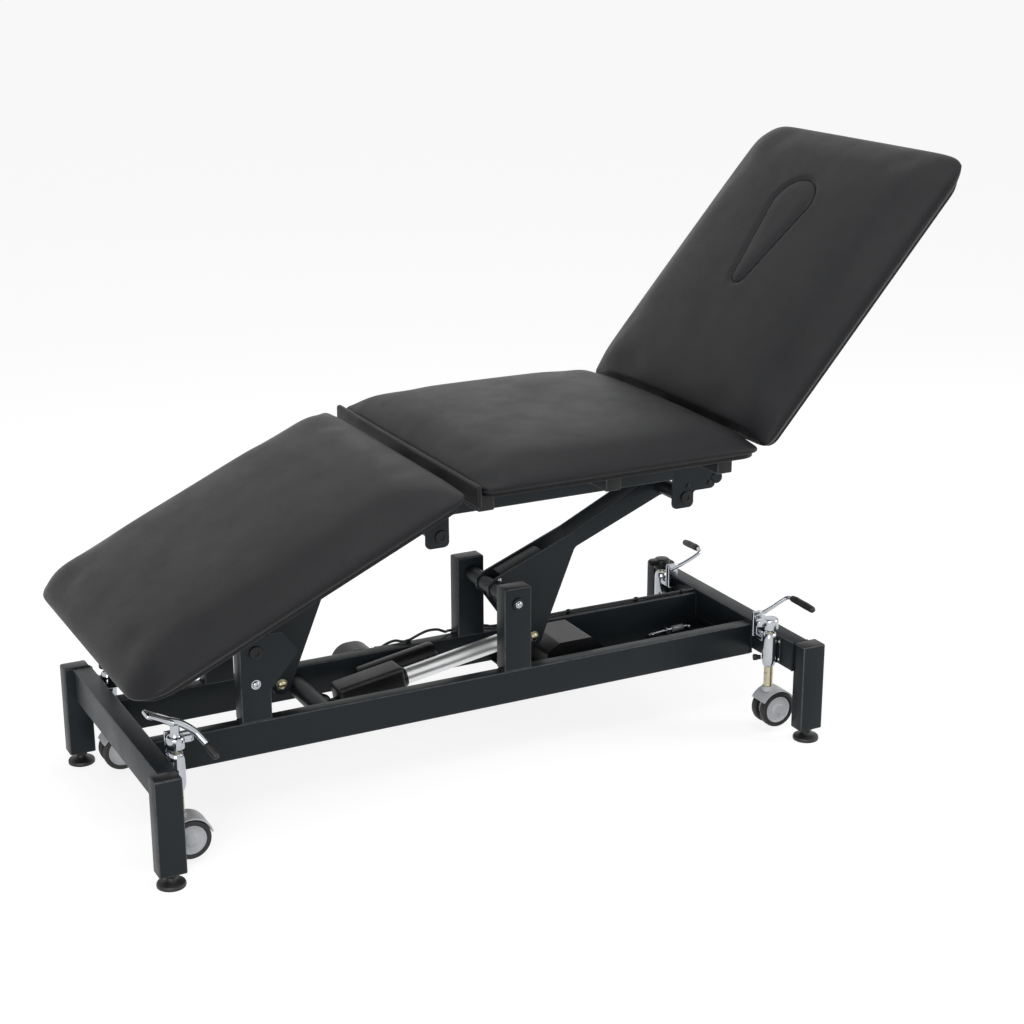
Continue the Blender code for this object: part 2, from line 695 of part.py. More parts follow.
def arm_outline(pin):
    """Side outline of a lift arm, with its gusset down to the rod pin."""
    boss_low = atan2(ARM_RISE - ARM_LOW_END[1], ARM_REACH - ARM_LOW_END[0])
    low_side = ARM_LOW_SIDE
    rod_x, rod_z = ROD_PIN_PLACE
    away = degrees(atan2(rod_z + ARM_LOW_CORNER, rod_x + low_side))
    top_angle = degrees(atan2(ARM_RISE - ARM_TOP_MID[1], ARM_REACH - ARM_TOP_MID[0])) + 90
    corners = [(-low_side, -ARM_LOW_CORNER, ARM_LOW_CORNER / 3),
               (-low_side, PIN_RADIUS, ARM_LOW_CORNER / 3),
               (0, ARM_TOP_STEP, ARM_LOW_CORNER / 3),
               (*ARM_TOP_MID, ARM_BEND_RADIUS)]
    outline = rounded(corners + [(ARM_REACH, ARM_RISE + ARM_BOSS_RADIUS, 0)])[:-1]
    outline += arc((ARM_REACH, ARM_RISE), ARM_BOSS_RADIUS, top_angle, degrees(boss_low) - 180,
                   BOSS_STEPS)
    inner = rounded([(*ARM_LOW_END, 0), (*ARM_LOW_MID, ARM_BEND_RADIUS),
                     (rod_x + GUSSET_RADIUS, rod_z, 0)])[1:-1]
    outline += inner
    outline += arc(ROD_PIN_PLACE, GUSSET_RADIUS, 0, away - 90, GUSSET_STEPS)
    return [(pin.x + point[0], pin.z + point[1]) for point in outline]


def lift_arm(name, body, pin):
    """A channel of two plates and a web, with a torque tube at each end."""
    half = ARM_WIDTH / 2
    shape = arm_outline(pin)
    near = side_plate(body, shape, (-half, -half + ARM_PLATE))
    far = side_plate(body, shape, (half - ARM_PLATE, half))
    low_half = UPRIGHT_INSIDE - TOUCH_GAP
    high_half = TAB_INSIDE - TOUCH_GAP
    low = cross_rod(body, pin.x, pin.z, (-low_half, low_half), TORQUE_TUBE_RADIUS)
    high = cross_rod(body, pin.x + ARM_REACH, pin.z + ARM_RISE, (-high_half, high_half),
                     TORQUE_TUBE_RADIUS)
    slope = atan2(ARM_TOP_MID[1] - ARM_TOP_STEP, ARM_TOP_MID[0])
    along = Vector((cos(slope), 0, sin(slope)))
    under = Vector((sin(slope), 0, -cos(slope)))
    middle = pin + Vector((0, 0, ARM_TOP_STEP)) \
        + along * (WEB_LENGTH / 2 + TORQUE_TUBE_RADIUS) \
        + under * ARM_PLATE
    web = block(body, (middle.x - WEB_LENGTH / 2, middle.x + WEB_LENGTH / 2),
                (-half + ARM_PLATE / 2, half - ARM_PLATE / 2),
                (middle.z - ARM_PLATE / 2, middle.z + ARM_PLATE / 2),
                turn=Matrix.Rotation(-slope, 3, "Y"))
    arm = fuse(low, near, far, high, web)
    for across in (-1, 1):
        rod_x = pin.x + ROD_PIN_PLACE[0]
        rod_z = pin.z + ROD_PIN_PLACE[1]
        stub = cross_rod(body, rod_x, rod_z,
                         (across * (ROD_EYE_WIDTH / 2 + SIDE_GAP), across * (half + ROD_PIN_HEAD)),
                         ROD_PIN_RADIUS, SMALL_SIDES)
        fuse(arm, stub)
    cut(arm, bore(body, pin.x, pin.z, PIN_RADIUS + BORE_GAP),
        bore(body, pin.x + ARM_REACH, pin.z + ARM_RISE, PIN_RADIUS + BORE_GAP))
    return finish(arm, name, POWDER)


def pivot_pin(name, body, place, near_half, far_half):
    """A pin with a flat head at each end."""
    profile = ((0, near_half + PIN_HEAD), (PIN_HEAD_RADIUS, near_half + PIN_HEAD),
               (PIN_HEAD_RADIUS, near_half), (PIN_RADIUS, near_half),
               (PIN_RADIUS, -far_half), (PIN_HEAD_RADIUS, -far_half),
               (PIN_HEAD_RADIUS, -far_half - PIN_HEAD), (0, -far_half - PIN_HEAD))
    return finish(turned(body, profile, place, along_y=True), name, PLASTIC)


def pivot_cheek(base):
    """The plate bolted to the near foot upright, round the lower pivot."""
    foot_x = FOOT_PIVOT.x + CHEEK_FOOT[0]
    foot_z = FOOT_PIVOT.z + CHEEK_FOOT[1]
    left = FOOT_PIVOT.x - CHEEK_LEFT
    top = FOOT_PIVOT.z + CHEEK_TOP
    corners = [(left, top, CHEEK_CORNER), (FOOT_PIVOT.x + CHEEK_TOP_REACH, top, CHEEK_CORNER),
               (FOOT_PIVOT.x + CHEEK_RIGHT[0], FOOT_PIVOT.z + CHEEK_RIGHT[1], CHEEK_CORNER),
               (foot_x + CHEEK_FOOT_RADIUS, foot_z - CHEEK_FOOT_RADIUS, CHEEK_FOOT_RADIUS),
               (left, foot_z - CHEEK_FOOT_RADIUS, CHEEK_FOOT_RADIUS)]
    inside = RAIL_OUTSIDE + TOUCH_GAP
    cheek = side_plate(base, rounded(corners), (-inside - CHEEK_THICKNESS, -inside))
    bolt = cross_rod(base, foot_x, foot_z,
                     (-inside - CHEEK_THICKNESS - CHEEK_BOLT_HEIGHT, -inside - CHEEK_THICKNESS / 2),
                     CHEEK_BOLT_RADIUS, SMALL_SIDES)
    fuse(cheek, bolt)
    cut(cheek, bore(base, FOOT_PIVOT.x, FOOT_PIVOT.z, PIN_RADIUS + BORE_GAP))
    return finish(cheek, "pivot_cheek", POWDER)


def lift(base):
    """Both arms on the base, their pins, and the pivot that carries the top."""
    foot_arm = pivot("foot_arm_pivot", FOOT_PIVOT, base)
    head_arm = pivot("head_arm_pivot", HEAD_PIVOT, base)
    top = pivot("top_pivot", HEAD_TOP_PIVOT, head_arm)
    lift_arm("lift_arm_foot", foot_arm, FOOT_PIVOT)
    lift_arm("lift_arm_head", head_arm, HEAD_PIVOT)
    low = RAIL_OUTSIDE + TOUCH_GAP
    high = SEAT_RAIL_OUTSIDE + TOUCH_GAP
    cheek = low + CHEEK_THICKNESS + TOUCH_GAP
    pivot_pin("pivot_pin_foot_low", base, FOOT_PIVOT, cheek, low)
    pivot_pin("pivot_pin_head_low", base, HEAD_PIVOT, low, low)
    pivot_pin("pivot_pin_foot_high", top, FOOT_TOP_PIVOT, high, high)
    pivot_pin("pivot_pin_head_high", top, HEAD_TOP_PIVOT, high, high)
    pivot_cheek(base)
    return top


def actuator(base):
    """The cross tube between the rails and the electric actuator that hangs on it."""
    reach = RAIL_INSIDE - TOUCH_GAP
    tube = cross_rod(base, CROSS_TUBE_PLACE, RAIL_MIDDLE, (-reach, reach), CROSS_TUBE_RADIUS)
    lug_inside = REAR_EYE_WIDTH / 2 + BORE_GAP
    run = Vector((REAR_PIN.x - CROSS_TUBE_PLACE, REAR_PIN.z - RAIL_MIDDLE))
    side = Vector((-run.y, run.x)).normalized() * LUG_RADIUS
    heading = degrees(atan2(run.y, run.x))
    tube_place = Vector((CROSS_TUBE_PLACE, RAIL_MIDDLE))
    lug_shape = [tube_place + side, tube_place - side] \
        + arc((REAR_PIN.x, REAR_PIN.z), LUG_RADIUS, heading - 90, heading + 90)
    for across in (-1, 1):
        fuse(tube, side_plate(base, lug_shape, (across * lug_inside,
                                                across * (lug_inside + LUG_THICKNESS))))
    pin_reach = lug_inside + LUG_THICKNESS + SIDE_GAP
    fuse(tube, cross_rod(base, REAR_PIN.x, REAR_PIN.z, (-pin_reach, pin_reach), REAR_PIN_RADIUS))
    finish(tube, "actuator_cross_tube", POWDER)

    body = pivot("actuator_pivot", REAR_PIN, base, -ACTUATOR_SLOPE)
    half = REAR_EYE_WIDTH / 2
    gearbox = block(body, GEARBOX, (-GEARBOX_WIDTH / 2, GEARBOX_WIDTH / 2),
                    (-GEARBOX_BOTTOM, GEARBOX_TOP), GEARBOX_EDGE)
    eye = cross_rod(body, 0, 0, (-half, half), REAR_EYE_RADIUS)
    neck = block(body, (0, GEARBOX[0] + GEARBOX_EDGE * 2), (-half / 2, half / 2),
                 (-REAR_EYE_RADIUS / 2, REAR_EYE_RADIUS / 2))
    motor = rod(body, (MOTOR_START, MOTOR_OFFSET, 0), (MOTOR_START + MOTOR_LENGTH, MOTOR_OFFSET, 0),
                MOTOR_RADIUS)
    fuse(gearbox, eye, neck, motor)
    cut(gearbox, cross_rod(body, 0, 0, (-half - OVERRUN, half + OVERRUN),
                           REAR_PIN_RADIUS + BORE_GAP))
    finish(gearbox, "actuator_gearbox", PLASTIC)

    inner = ACTUATOR_TUBE_RADIUS - ACTUATOR_TUBE_WALL
    sleeve = rod(body, (GEARBOX[1] + TOUCH_GAP, 0, 0), (ACTUATOR_TUBE_END, 0, 0),
                 ACTUATOR_TUBE_RADIUS)
    hollow_start = ACTUATOR_TUBE_END - ACTUATOR_ROD_INSIDE - 2 * OVERRUN
    cut(sleeve, rod(body, (hollow_start, 0, 0), (ACTUATOR_TUBE_END + OVERRUN, 0, 0), inner))
    finish(sleeve, "actuator_tube", SILVER)

    slider = pivot("actuator_rod_slide", (ACTUATOR_LENGTH, 0, 0), body)
    guide_radius = inner - BORE_GAP
    piston = rod(slider, (ACTUATOR_TUBE_END - ACTUATOR_ROD_INSIDE, 0, 0),
                 (ACTUATOR_TUBE_END - ACTUATOR_ROD_INSIDE + 2 * OVERRUN, 0, 0), guide_radius)
    bar = rod(slider, (ACTUATOR_TUBE_END - ACTUATOR_ROD_INSIDE + OVERRUN, 0, 0),
              (ACTUATOR_LENGTH, 0, 0), ACTUATOR_ROD_RADIUS)
    rod_eye = cross_rod(slider, ACTUATOR_LENGTH, 0, (-ROD_EYE_WIDTH / 2, ROD_EYE_WIDTH / 2),
                        ROD_EYE_RADIUS)
    finish(fuse(piston, bar, rod_eye), "actuator_rod", SILVER)


def tray_and_control_box(base):
    """The plate between the rails and the box on the far rail's outer face."""
    reach = RAIL_INSIDE - TOUCH_GAP
    tray = block(base, (TRAY_START, HEAD_BAR_FACE), (-reach, reach),
                 (RAIL_BOTTOM + TRAY_LIFT, RAIL_BOTTOM + TRAY_LIFT + TRAY_THICKNESS))
    finish(tray, "tray", POWDER)
    inside = RAIL_OUTSIDE + TOUCH_GAP
    box = block(base, (CONTROL_BOX_PLACE, CONTROL_BOX_PLACE + CONTROL_BOX_LENGTH),
                (inside, inside + CONTROL_BOX_WIDTH), (RAIL_TOP - CONTROL_BOX_HEIGHT, RAIL_TOP),
                CONTROL_BOX_EDGE, segments=2)
    finish(box, "control_box", PLASTIC)


def cable(base):
    """The cable along the top of the far rail, round the head upright."""
    last = Vector(CABLE_ROUTE[-1])
    end = Vector((HEAD_BAR_FACE - BORE_GAP, CABLE_END_SIDE, last.z))
    sway = Vector((last.x + (end.x - last.x) * CABLE_SWAY_SHARE, CABLE_SWAY, last.z))
    route = smooth_route([*CABLE_ROUTE, sway, end], CABLE_STEP)
    run = wire(base, route, CABLE_RADIUS, resolution=2)
    finish(run, "rail_cable", PLASTIC)


def foot_switch(base):
    """A guarded foot switch on the tray: a hollow hood with a sloping top and a pedal."""
    floor = RAIL_BOTTOM + TRAY_LIFT + TRAY_THICKNESS + TOUCH_GAP
    start = SWITCH_PLACE
    end = SWITCH_PLACE + SWITCH_LENGTH
    corners = [(start, floor, 0), (end, floor, 0), (end, floor + SWITCH_FRONT_HEIGHT, SWITCH_CORNER),
               (end - SWITCH_FRONT_RUN, floor + SWITCH_HEIGHT, SWITCH_CORNER),
               (start + SWITCH_BACK_RUN, floor + SWITCH_HEIGHT, SWITCH_CORNER),
               (start, floor + SWITCH_BACK_HEIGHT, SWITCH_CORNER)]
    half = SWITCH_WIDTH / 2
    hood = side_plate(base, rounded(corners), (-half, half))
    mouth_base = floor + SWITCH_WALL
    hollow = block(base, (end - PEDAL_LENGTH - SWITCH_WALL, end + OVERRUN),
                   (-half + SWITCH_WALL, half - SWITCH_WALL),
                   (mouth_base, mouth_base + SWITCH_MOUTH_HEIGHT))
    cut(hood, hollow)
    finish(hood, "foot_switch_hood", PLASTIC)

    hinge_x = end - PEDAL_LENGTH
    hinge_z = mouth_base + PEDAL_HEIGHT + PEDAL_THICKNESS / 2
    hinge = pivot("pedal_pivot", (hinge_x, 0, hinge_z), base)
    pedal = block(hinge, (hinge_x, end - SWITCH_WALL), (-PEDAL_WIDTH / 2, PEDAL_WIDTH / 2),
                  (mouth_base + PEDAL_HEIGHT, mouth_base + PEDAL_HEIGHT + PEDAL_THICKNESS))
    axle_reach = half - SWITCH_WALL - TOUCH_GAP
    fuse(pedal, cross_rod(hinge, hinge_x, hinge_z, (-axle_reach, axle_reach), PEDAL_AXLE_RADIUS,
                          SMALL_SIDES))
    finish(pedal, "foot_switch_pedal", RUBBER)


def castor_housing(base, name, x, across, inward):
    """The guide tube on the crossbar with the lug that carries the lever."""
    side = across * CASTOR_SIDE
    tube = rod(base, (x, side, HOUSING_BOTTOM), (x, side, HOUSING_TOP), HOUSING_RADIUS)
    bar_face = FOOT_BAR_FACE if inward > 0 else HEAD_BAR_FACE
    flange = block(base, (bar_face + inward * TOUCH_GAP, x),
                   (side - HOUSING_RADIUS / 2, side + HOUSING_RADIUS / 2),
                   (CROSSBAR_BOTTOM + SIDE_GAP, LEG_TOP - SIDE_GAP))
    lug_y = across * BRACKET_PLACE
    lug_top = LEVER_HEIGHT + BRACKET_LIFT
    web_bottom = BLADE_BOTTOM
    lug = block(base, (x - BRACKET_HALF_LENGTH, x + BRACKET_HALF_LENGTH),
                (lug_y, lug_y - across * BRACKET_THICKNESS), (web_bottom, lug_top))
    web = block(base, (x - BRACKET_HALF_LENGTH, x + BRACKET_HALF_LENGTH),
                (lug_y - across * BRACKET_THICKNESS, side), (web_bottom, web_bottom + BRACKET_WEB_HEIGHT))
    fuse(tube, flange, lug, web)
    cut(tube, rod(base, (x, side, HOUSING_BOTTOM - OVERRUN), (x, side, HOUSING_TOP + OVERRUN),
                  STEM_RADIUS + BORE_GAP),
        bore(base, x, LEVER_HEIGHT, LEVER_SHAFT_RADIUS + BORE_GAP))
    finish(tube, f"castor_housing_{name}", CHROME)


def castor_running_gear(base, name, x, across):
    """The stem that slides, the fork that swivels on it and the wheels."""
    side = across * CASTOR_SIDE
    slide = pivot(f"castor_slide_{name}", (x, side, STEM_BOTTOM), base)
    stem = rod(slide, (x, side, STEM_BOTTOM), (x, side, HOUSING_TOP - STEM_TOP_DROP), STEM_RADIUS)
    finish(stem, f"castor_stem_{name}", ZINC)

    swivel = pivot(f"castor_swivel_{name}", (x, side, STEM_BOTTOM - TOUCH_GAP), slide)
    wheel_x = x + TRAIL
    neck_top = STEM_BOTTOM - TOUCH_GAP
    neck = rod(swivel, (x, side, neck_top - FORK_NECK_HEIGHT), (x, side, neck_top), FORK_NECK_RADIUS)
    inner = WHEEL_RADIUS + HOOD_GAP
    hood_shape = arc((wheel_x, WHEEL_HEIGHT), inner, HOOD_START, HOOD_END, HOOD_STEPS) \
        + arc((wheel_x, WHEEL_HEIGHT), inner + HOOD_WALL, HOOD_END, HOOD_START, HOOD_STEPS)
    hood = side_plate(swivel, hood_shape, (side - WHEEL_HALF_WIDTH, side + WHEEL_HALF_WIDTH))
    web_shape = arc((wheel_x, WHEEL_HEIGHT), FORK_BOSS_RADIUS, 180, 360, WEB_STEPS) \
        + arc((wheel_x, WHEEL_HEIGHT), inner + HOOD_WALL / 2, HOOD_START * 3,
              HOOD_END - HOOD_START, BOSS_STEPS)
    web = side_plate(swivel, web_shape, (side - FORK_WEB / 2, side + FORK_WEB / 2))
    cut(fuse(hood, web, neck), cross_rod(swivel, wheel_x, WHEEL_HEIGHT,
                                         (side - OVERRUN, side + OVERRUN),
                                         AXLE_RADIUS + BORE_GAP, SMALL_SIDES))
    finish(hood, f"castor_fork_{name}", GREY)

    axle = pivot(f"wheel_axle_{name}", (wheel_x, side, WHEEL_HEIGHT), swivel)
    outer = WHEEL_HALF_WIDTH
    inside = WHEEL_HALF_WIDTH - TYRE_WIDTH
    rim = WHEEL_RADIUS - TYRE_EDGE
    profile = ((0, outer), (rim, outer), (WHEEL_RADIUS, outer - TYRE_EDGE),
               (WHEEL_RADIUS, inside + TYRE_EDGE), (rim, inside), (AXLE_RADIUS, inside),
               (AXLE_RADIUS, -inside), (rim, -inside), (WHEEL_RADIUS, -inside - TYRE_EDGE),
               (WHEEL_RADIUS, -outer + TYRE_EDGE), (rim, -outer), (0, -outer))
    wheels = turned(axle, profile, (wheel_x, side, WHEEL_HEIGHT), along_y=True,
                    sides=WHEEL_SIDES)
    finish(wheels, f"castor_wheels_{name}", RUBBER)


def lever_cap(body, x, side, nose):
    """The cap over the housing, with its nose and its shaft towards the middle."""
    cap = rod(body, (x, side, LEVER_CAP_BOTTOM), (x, side, LEVER_CAP_TOP), LEVER_CAP_RADIUS)
    tip = x + nose * (LEVER_NOSE - LEVER_NOSE_RADIUS)
    middle = (LEVER_CAP_BOTTOM + LEVER_CAP_TOP) / 2
    beak = block(body, (x, tip), (side - LEVER_NOSE_RADIUS, side + LEVER_NOSE_RADIUS),
                 (middle, LEVER_CAP_TOP - TOUCH_GAP))
    tip_round = rod(body, (tip, side, middle), (tip, side, LEVER_CAP_TOP - TOUCH_GAP * 2),
                    LEVER_NOSE_RADIUS, SMALL_SIDES)
    return fuse(cap, beak, tip_round)


def beside_castor(points, x, across):
    """Lever points, given outwards from the castor's axis, in the base's own frame."""
    return [(x + along, across * (CASTOR_SIDE + out), height) for along, out, height in points]


def head_lever(base, name, x, across):
    """The lever with a blade beside the housing and a grip that points outwards."""
    side = across * CASTOR_SIDE
    body = pivot(f"castor_lever_pivot_{name}", (x, side, LEVER_HEIGHT), base)
    lever = lever_cap(body, x, side, -1)
    blade_y = across * BLADE_PLACE
    shaft = cross_rod(body, x, LEVER_HEIGHT, (blade_y, side), LEVER_SHAFT_RADIUS)
    blade = block(body, (x - BLADE_LENGTH / 2, x + BLADE_LENGTH / 2),
                  (blade_y - BLADE_THICKNESS / 2, blade_y + BLADE_THICKNESS / 2),
                  (BLADE_BOTTOM, LEVER_CAP_TOP))
    bar = wire(body, beside_castor(HEAD_ARM, x, across), HEAD_ARM_RADIUS)
    grip = wire(body, beside_castor(HEAD_GRIP, x, across), HEAD_GRIP_RADIUS)
    finish(fuse(lever, shaft, blade, bar, grip), f"castor_lever_{name}", CHROME)


def foot_lever(base, name, x, across):
    """The lever with a spoon at its outer end and a tip that points down and out."""
    side = across * CASTOR_SIDE
    body = pivot(f"castor_lever_pivot_{name}", (x, side, LEVER_HEIGHT), base)
    lever = lever_cap(body, x, side, 1)
    shaft = cross_rod(body, x, LEVER_HEIGHT, (across * BLADE_PLACE, side), LEVER_SHAFT_RADIUS)
    post = rod(body, (x, side, LEVER_CAP_BOTTOM + TOUCH_GAP), (x, side, FOOT_ARM[2][2]),
               FOOT_POST_RADIUS, SMALL_SIDES)
    bar = wire(body, beside_castor(FOOT_ARM, x, across), FOOT_ARM_RADIUS)
    tip = wire(body, beside_castor(FOOT_TIP, x, across), FOOT_TIP_RADIUS)
    spoon_x = x + FOOT_SPOON_PLACE[0]
    spoon = block(body, (spoon_x - FOOT_SPOON_LENGTH / 2, spoon_x + FOOT_SPOON_LENGTH / 2),
                  (side - FOOT_SPOON_WIDTH / 2, side + FOOT_SPOON_WIDTH / 2),
                  (FOOT_SPOON_PLACE[1] - FOOT_SPOON_THICKNESS / 2,
                   FOOT_SPOON_PLACE[1] + FOOT_SPOON_THICKNESS / 2),
                  FOOT_SPOON_THICKNESS / 3,
                  Matrix.Rotation(radians(FOOT_SPOON_SLOPE), 3, "Y"))
    finish(fuse(lever, shaft, post, bar, tip, spoon), f"castor_lever_{name}", CHROME)


def castors(base):
    """Four castors, each with its housing, running gear and lever."""
    for end, sign in end_words():
        x = FOOT_CASTOR if sign < 0 else HEAD_CASTOR
        for side, across in side_words():
            name = f"{end}_{side}"
            castor_housing(base, name, x, across, -sign)
            castor_running_gear(base, name, x, across)
            if sign > 0:
                head_lever(base, name, x, across)
            else:
                foot_lever(base, name, x, across)


def seat_tab(top, pin, across, reach):
    """A bracket plate below the side rail, round one upper pivot."""
    left = pin.x - TAB_LEFT
    bottom = pin.z - TAB_BOTTOM
    right = pin.x + TAB_RIGHT
    roof = SEAT_RAIL_BOTTOM + SEAT_RAIL_HEIGHT / 2
    corners = [(left, roof, 0), (left, bottom, TAB_CORNER), (right, bottom, TAB_CORNER)]
    if reach:
        ledge = pin.z + HEAD_TAB_LIFT
        corners += [(right, ledge, 0), (pin.x + reach, ledge, TAB_CORNER),
                    (pin.x + reach, roof, 0)]
    else:
        corners.append((right, roof, 0))
    return side_plate(top, rounded(corners), (across * TAB_INSIDE, across * SEAT_RAIL_OUTSIDE))


def hinge_lug(top, hinge, rail_x, across):
    """A lug from the end of a side rail to a hinge pin."""
    hinge_x, hinge_z = hinge
    inward = 1 if rail_x > hinge_x else -1
    root = hinge_x + inward * HINGE_LUG_ROOT
    boss = HINGE_BOSS_RADIUS
    if inward > 0:
        shape = arc((hinge_x, hinge_z), boss, 80, 260, BOSS_STEPS)
    else:
        shape = arc((hinge_x, hinge_z), boss, 100, -80, BOSS_STEPS)
    low = SEAT_RAIL_BOTTOM + SEAT_RAIL_HEIGHT / 2
    shape += [(root, low), (root, SEAT_RAIL_TOP - TOUCH_GAP)]
    y = (across * HINGE_LUG_INSIDE, across * (HINGE_LUG_INSIDE + HINGE_LUG_THICKNESS))
    return side_plate(top, shape, y)


def seat_frame(top):
    """Side rails, cross bars, bracket tabs, hinge lugs and hinge pins in one weldment."""
    pieces = []
    for side, across in side_words():
        pieces.append(block(top, (SEAT_RAIL_START, SEAT_RAIL_END),
                            (across * SEAT_RAIL_INSIDE, across * SEAT_RAIL_OUTSIDE),
                            (SEAT_RAIL_BOTTOM, SEAT_RAIL_TOP), STEEL_EDGE))
        pieces.append(seat_tab(top, FOOT_TOP_PIVOT, across, 0))
        pieces.append(seat_tab(top, HEAD_TOP_PIVOT, across, HEAD_TAB_REACH))
        stub_x = HEAD_TOP_PIVOT.x + STUB_PLACE[0]
        stub_z = HEAD_TOP_PIVOT.z + STUB_PLACE[1]
        pieces.append(cross_rod(top, stub_x, stub_z,
                                (across * (SEAT_RAIL_OUTSIDE - STUB_WIDTH),
                                 across * (SEAT_RAIL_OUTSIDE + STUB_WIDTH / 4)),
                                STUB_RADIUS, SMALL_SIDES))
        for hinge, rail_x in ((LEG_HINGE, SEAT_RAIL_START), (BACK_HINGE, SEAT_RAIL_END)):
            pieces.append(hinge_lug(top, hinge, rail_x, across))
    for place in SEAT_BAR_PLACES:
        pieces.append(block(top, (place, place + SEAT_BAR_DEPTH),
                            (-SEAT_BAR_HALF_LENGTH, SEAT_BAR_HALF_LENGTH),
                            (SEAT_RAIL_TOP - TOUCH_GAP, SEAT_RAIL_TOP + SEAT_BAR_HEIGHT)))
    pieces.append(block(top, (SPRING_BLOCK_PLACE, SPRING_BLOCK_PLACE + SPRING_BLOCK_DEPTH),
                        (-SEAT_RAIL_INSIDE - STEEL_EDGE, SEAT_RAIL_INSIDE + STEEL_EDGE),
                        (BACK_CRANK_END.z - SPRING_RADIUS - STEEL_EDGE,
                         SEAT_RAIL_TOP - STEEL_EDGE * 2)))
    reach = HINGE_LUG_INSIDE + HINGE_LUG_THICKNESS - TOUCH_GAP
    for hinge_x, hinge_z in (LEG_HINGE, BACK_HINGE):
        pieces.append(cross_rod(top, hinge_x, hinge_z, (-reach, reach), HINGE_PIN_RADIUS))
    frame = fuse(pieces[0], *pieces[1:])
    for pin in (FOOT_TOP_PIVOT, HEAD_TOP_PIVOT):
        cut(frame, bore(top, pin.x, pin.z, PIN_RADIUS + BORE_GAP))
    return finish(frame, "seat_frame", POWDER)


def section_frame(body, name, sign, bars, crank, crank_angle, crank_side):
    """Frame of a tilting section, drawn in its own frame along +X or -X.

    bars holds the bottom and top of its bars, and crank_angle is the crank's angle
    from straight down towards +X, in the section's own frame.
    """
    reach = HINGE_LUG_INSIDE - BORE_GAP
    sleeve = cross_rod(body, 0, 0, (-reach, reach), HINGE_SLEEVE_RADIUS)
    pieces = []
    cross_reach = SECTION_BAR_SIDE + SECTION_BAR_WIDTH / 2 - TOUCH_GAP
    for start in (SECTION_BAR_START, SECTION_BAR_END - SECTION_CROSS_DEPTH):
        pieces.append(block(body, (sign * (start + TOUCH_GAP), sign * (start + SECTION_CROSS_DEPTH)),
                            (-cross_reach, cross_reach),
                            (bars[0] + TOUCH_GAP, bars[1] - TOUCH_GAP)))
    for side, across in side_words():
        middle = across * SECTION_BAR_SIDE
        pieces.append(block(body, (sign * SECTION_BAR_START, sign * (SECTION_BAR_END + TOUCH_GAP)),
                            (middle - SECTION_BAR_WIDTH / 2, middle + SECTION_BAR_WIDTH / 2),
                            bars, STEEL_EDGE))
        neck_middle = across * NECK_PLACE
        shape = [(0, -HINGE_SLEEVE_RADIUS + TOUCH_GAP), (sign * SECTION_BAR_START, bars[0]),
                 (sign * (SECTION_BAR_START + SECTION_CROSS_DEPTH / 2), bars[0] + STEEL_EDGE),
                 (sign * (SECTION_BAR_START + SECTION_CROSS_DEPTH / 2), bars[1] - STEEL_EDGE),
                 (sign * SECTION_BAR_START, bars[1] - STEEL_EDGE),
                 (0, min(HINGE_SLEEVE_RADIUS - TOUCH_GAP, bars[1] + HINGE_SLEEVE_RADIUS))]
        pieces.append(side_plate(body, shape, (neck_middle - NECK_THICKNESS / 2,
                                               neck_middle + NECK_THICKNESS / 2)))
    end = Vector((crank * sin(crank_angle), -crank * cos(crank_angle)))
    heading = degrees(atan2(end.y, end.x))
    root = Vector((-end.y, end.x)).normalized() * (HINGE_SLEEVE_RADIUS - STEEL_EDGE)
    crank_shape = [root, -root] + arc(end, CRANK_END_RADIUS, heading - 90, heading + 90)
    for across in (-1, 1):
        inner = crank_side + across * CRANK_GAP / 2
        pieces.append(side_plate(body, crank_shape, (inner, inner + across * CRANK_THICKNESS)))
    frame = fuse(sleeve, *pieces)
    cut(frame, cross_rod(body, 0, 0, (-reach - OVERRUN, reach + OVERRUN),
                         HINGE_PIN_RADIUS + BORE_GAP))
    return finish(frame, name, POWDER)


def gas_spring(top, name, block_face, mouth, eye, toward):
    """A cylinder fixed under the seat and the rod that slides out of it."""
    start = block_face + toward * TOUCH_GAP
    back, front = (Vector((x, eye.y, eye.z)) for x in (start, mouth))
    along = Vector((toward, 0, 0))
    cylinder = rod(top, back, front, SPRING_RADIUS, SMALL_SIDES)
    cut(cylinder, rod(top, back + along * SPRING_END_WALL, front + along * OVERRUN,
                      SPRING_ROD_RADIUS + BORE_GAP, SMALL_SIDES))
    finish(cylinder, f"gas_spring_cylinder_{name}", PLASTIC)
    slide = pivot(f"gas_spring_slide_{name}", eye, top)
    bar = rod(slide, front - along * SPRING_ROD_INSIDE, eye, SPRING_ROD_RADIUS, SMALL_SIDES)
    knuckle = cross_rod(slide, eye.x, eye.z,
                        (eye.y - SPRING_EYE_WIDTH / 2, eye.y + SPRING_EYE_WIDTH / 2),
                        SPRING_EYE_RADIUS, SMALL_SIDES)
    finish(fuse(bar, knuckle), f"gas_spring_rod_{name}", SILVER)


def cushion_lines(length, first_corner, last_corner):
    """Places of the cage's lines along one side of a cushion."""
    inside = length - first_corner - last_corner
    middle = [first_corner + inside * step / CUSHION_CELLS for step in range(CUSHION_CELLS + 1)]
    return [0, CUSHION_EDGE] + middle + [length - CUSHION_EDGE, length]


def round_corner(across, along, half, length, corners):
    """Move a cage point of a corner square onto the round corner's disc."""
    first = along < length / 2
    radius = corners[0] if first else corners[1]
    end = radius - along if first else along - (length - radius)
    side = abs(across) - (half - radius)
    if end <= 0 or side <= 0:
        return across, along
    p, q = end / radius, side / radius
    end_new = radius * p * sqrt(1 - q * q / 2)
    side_new = radius * q * sqrt(1 - p * p / 2)
    along = radius - end_new if first else length - radius + end_new
    across = (half - radius + side_new) * (1 if across > 0 else -1)
    return across, along


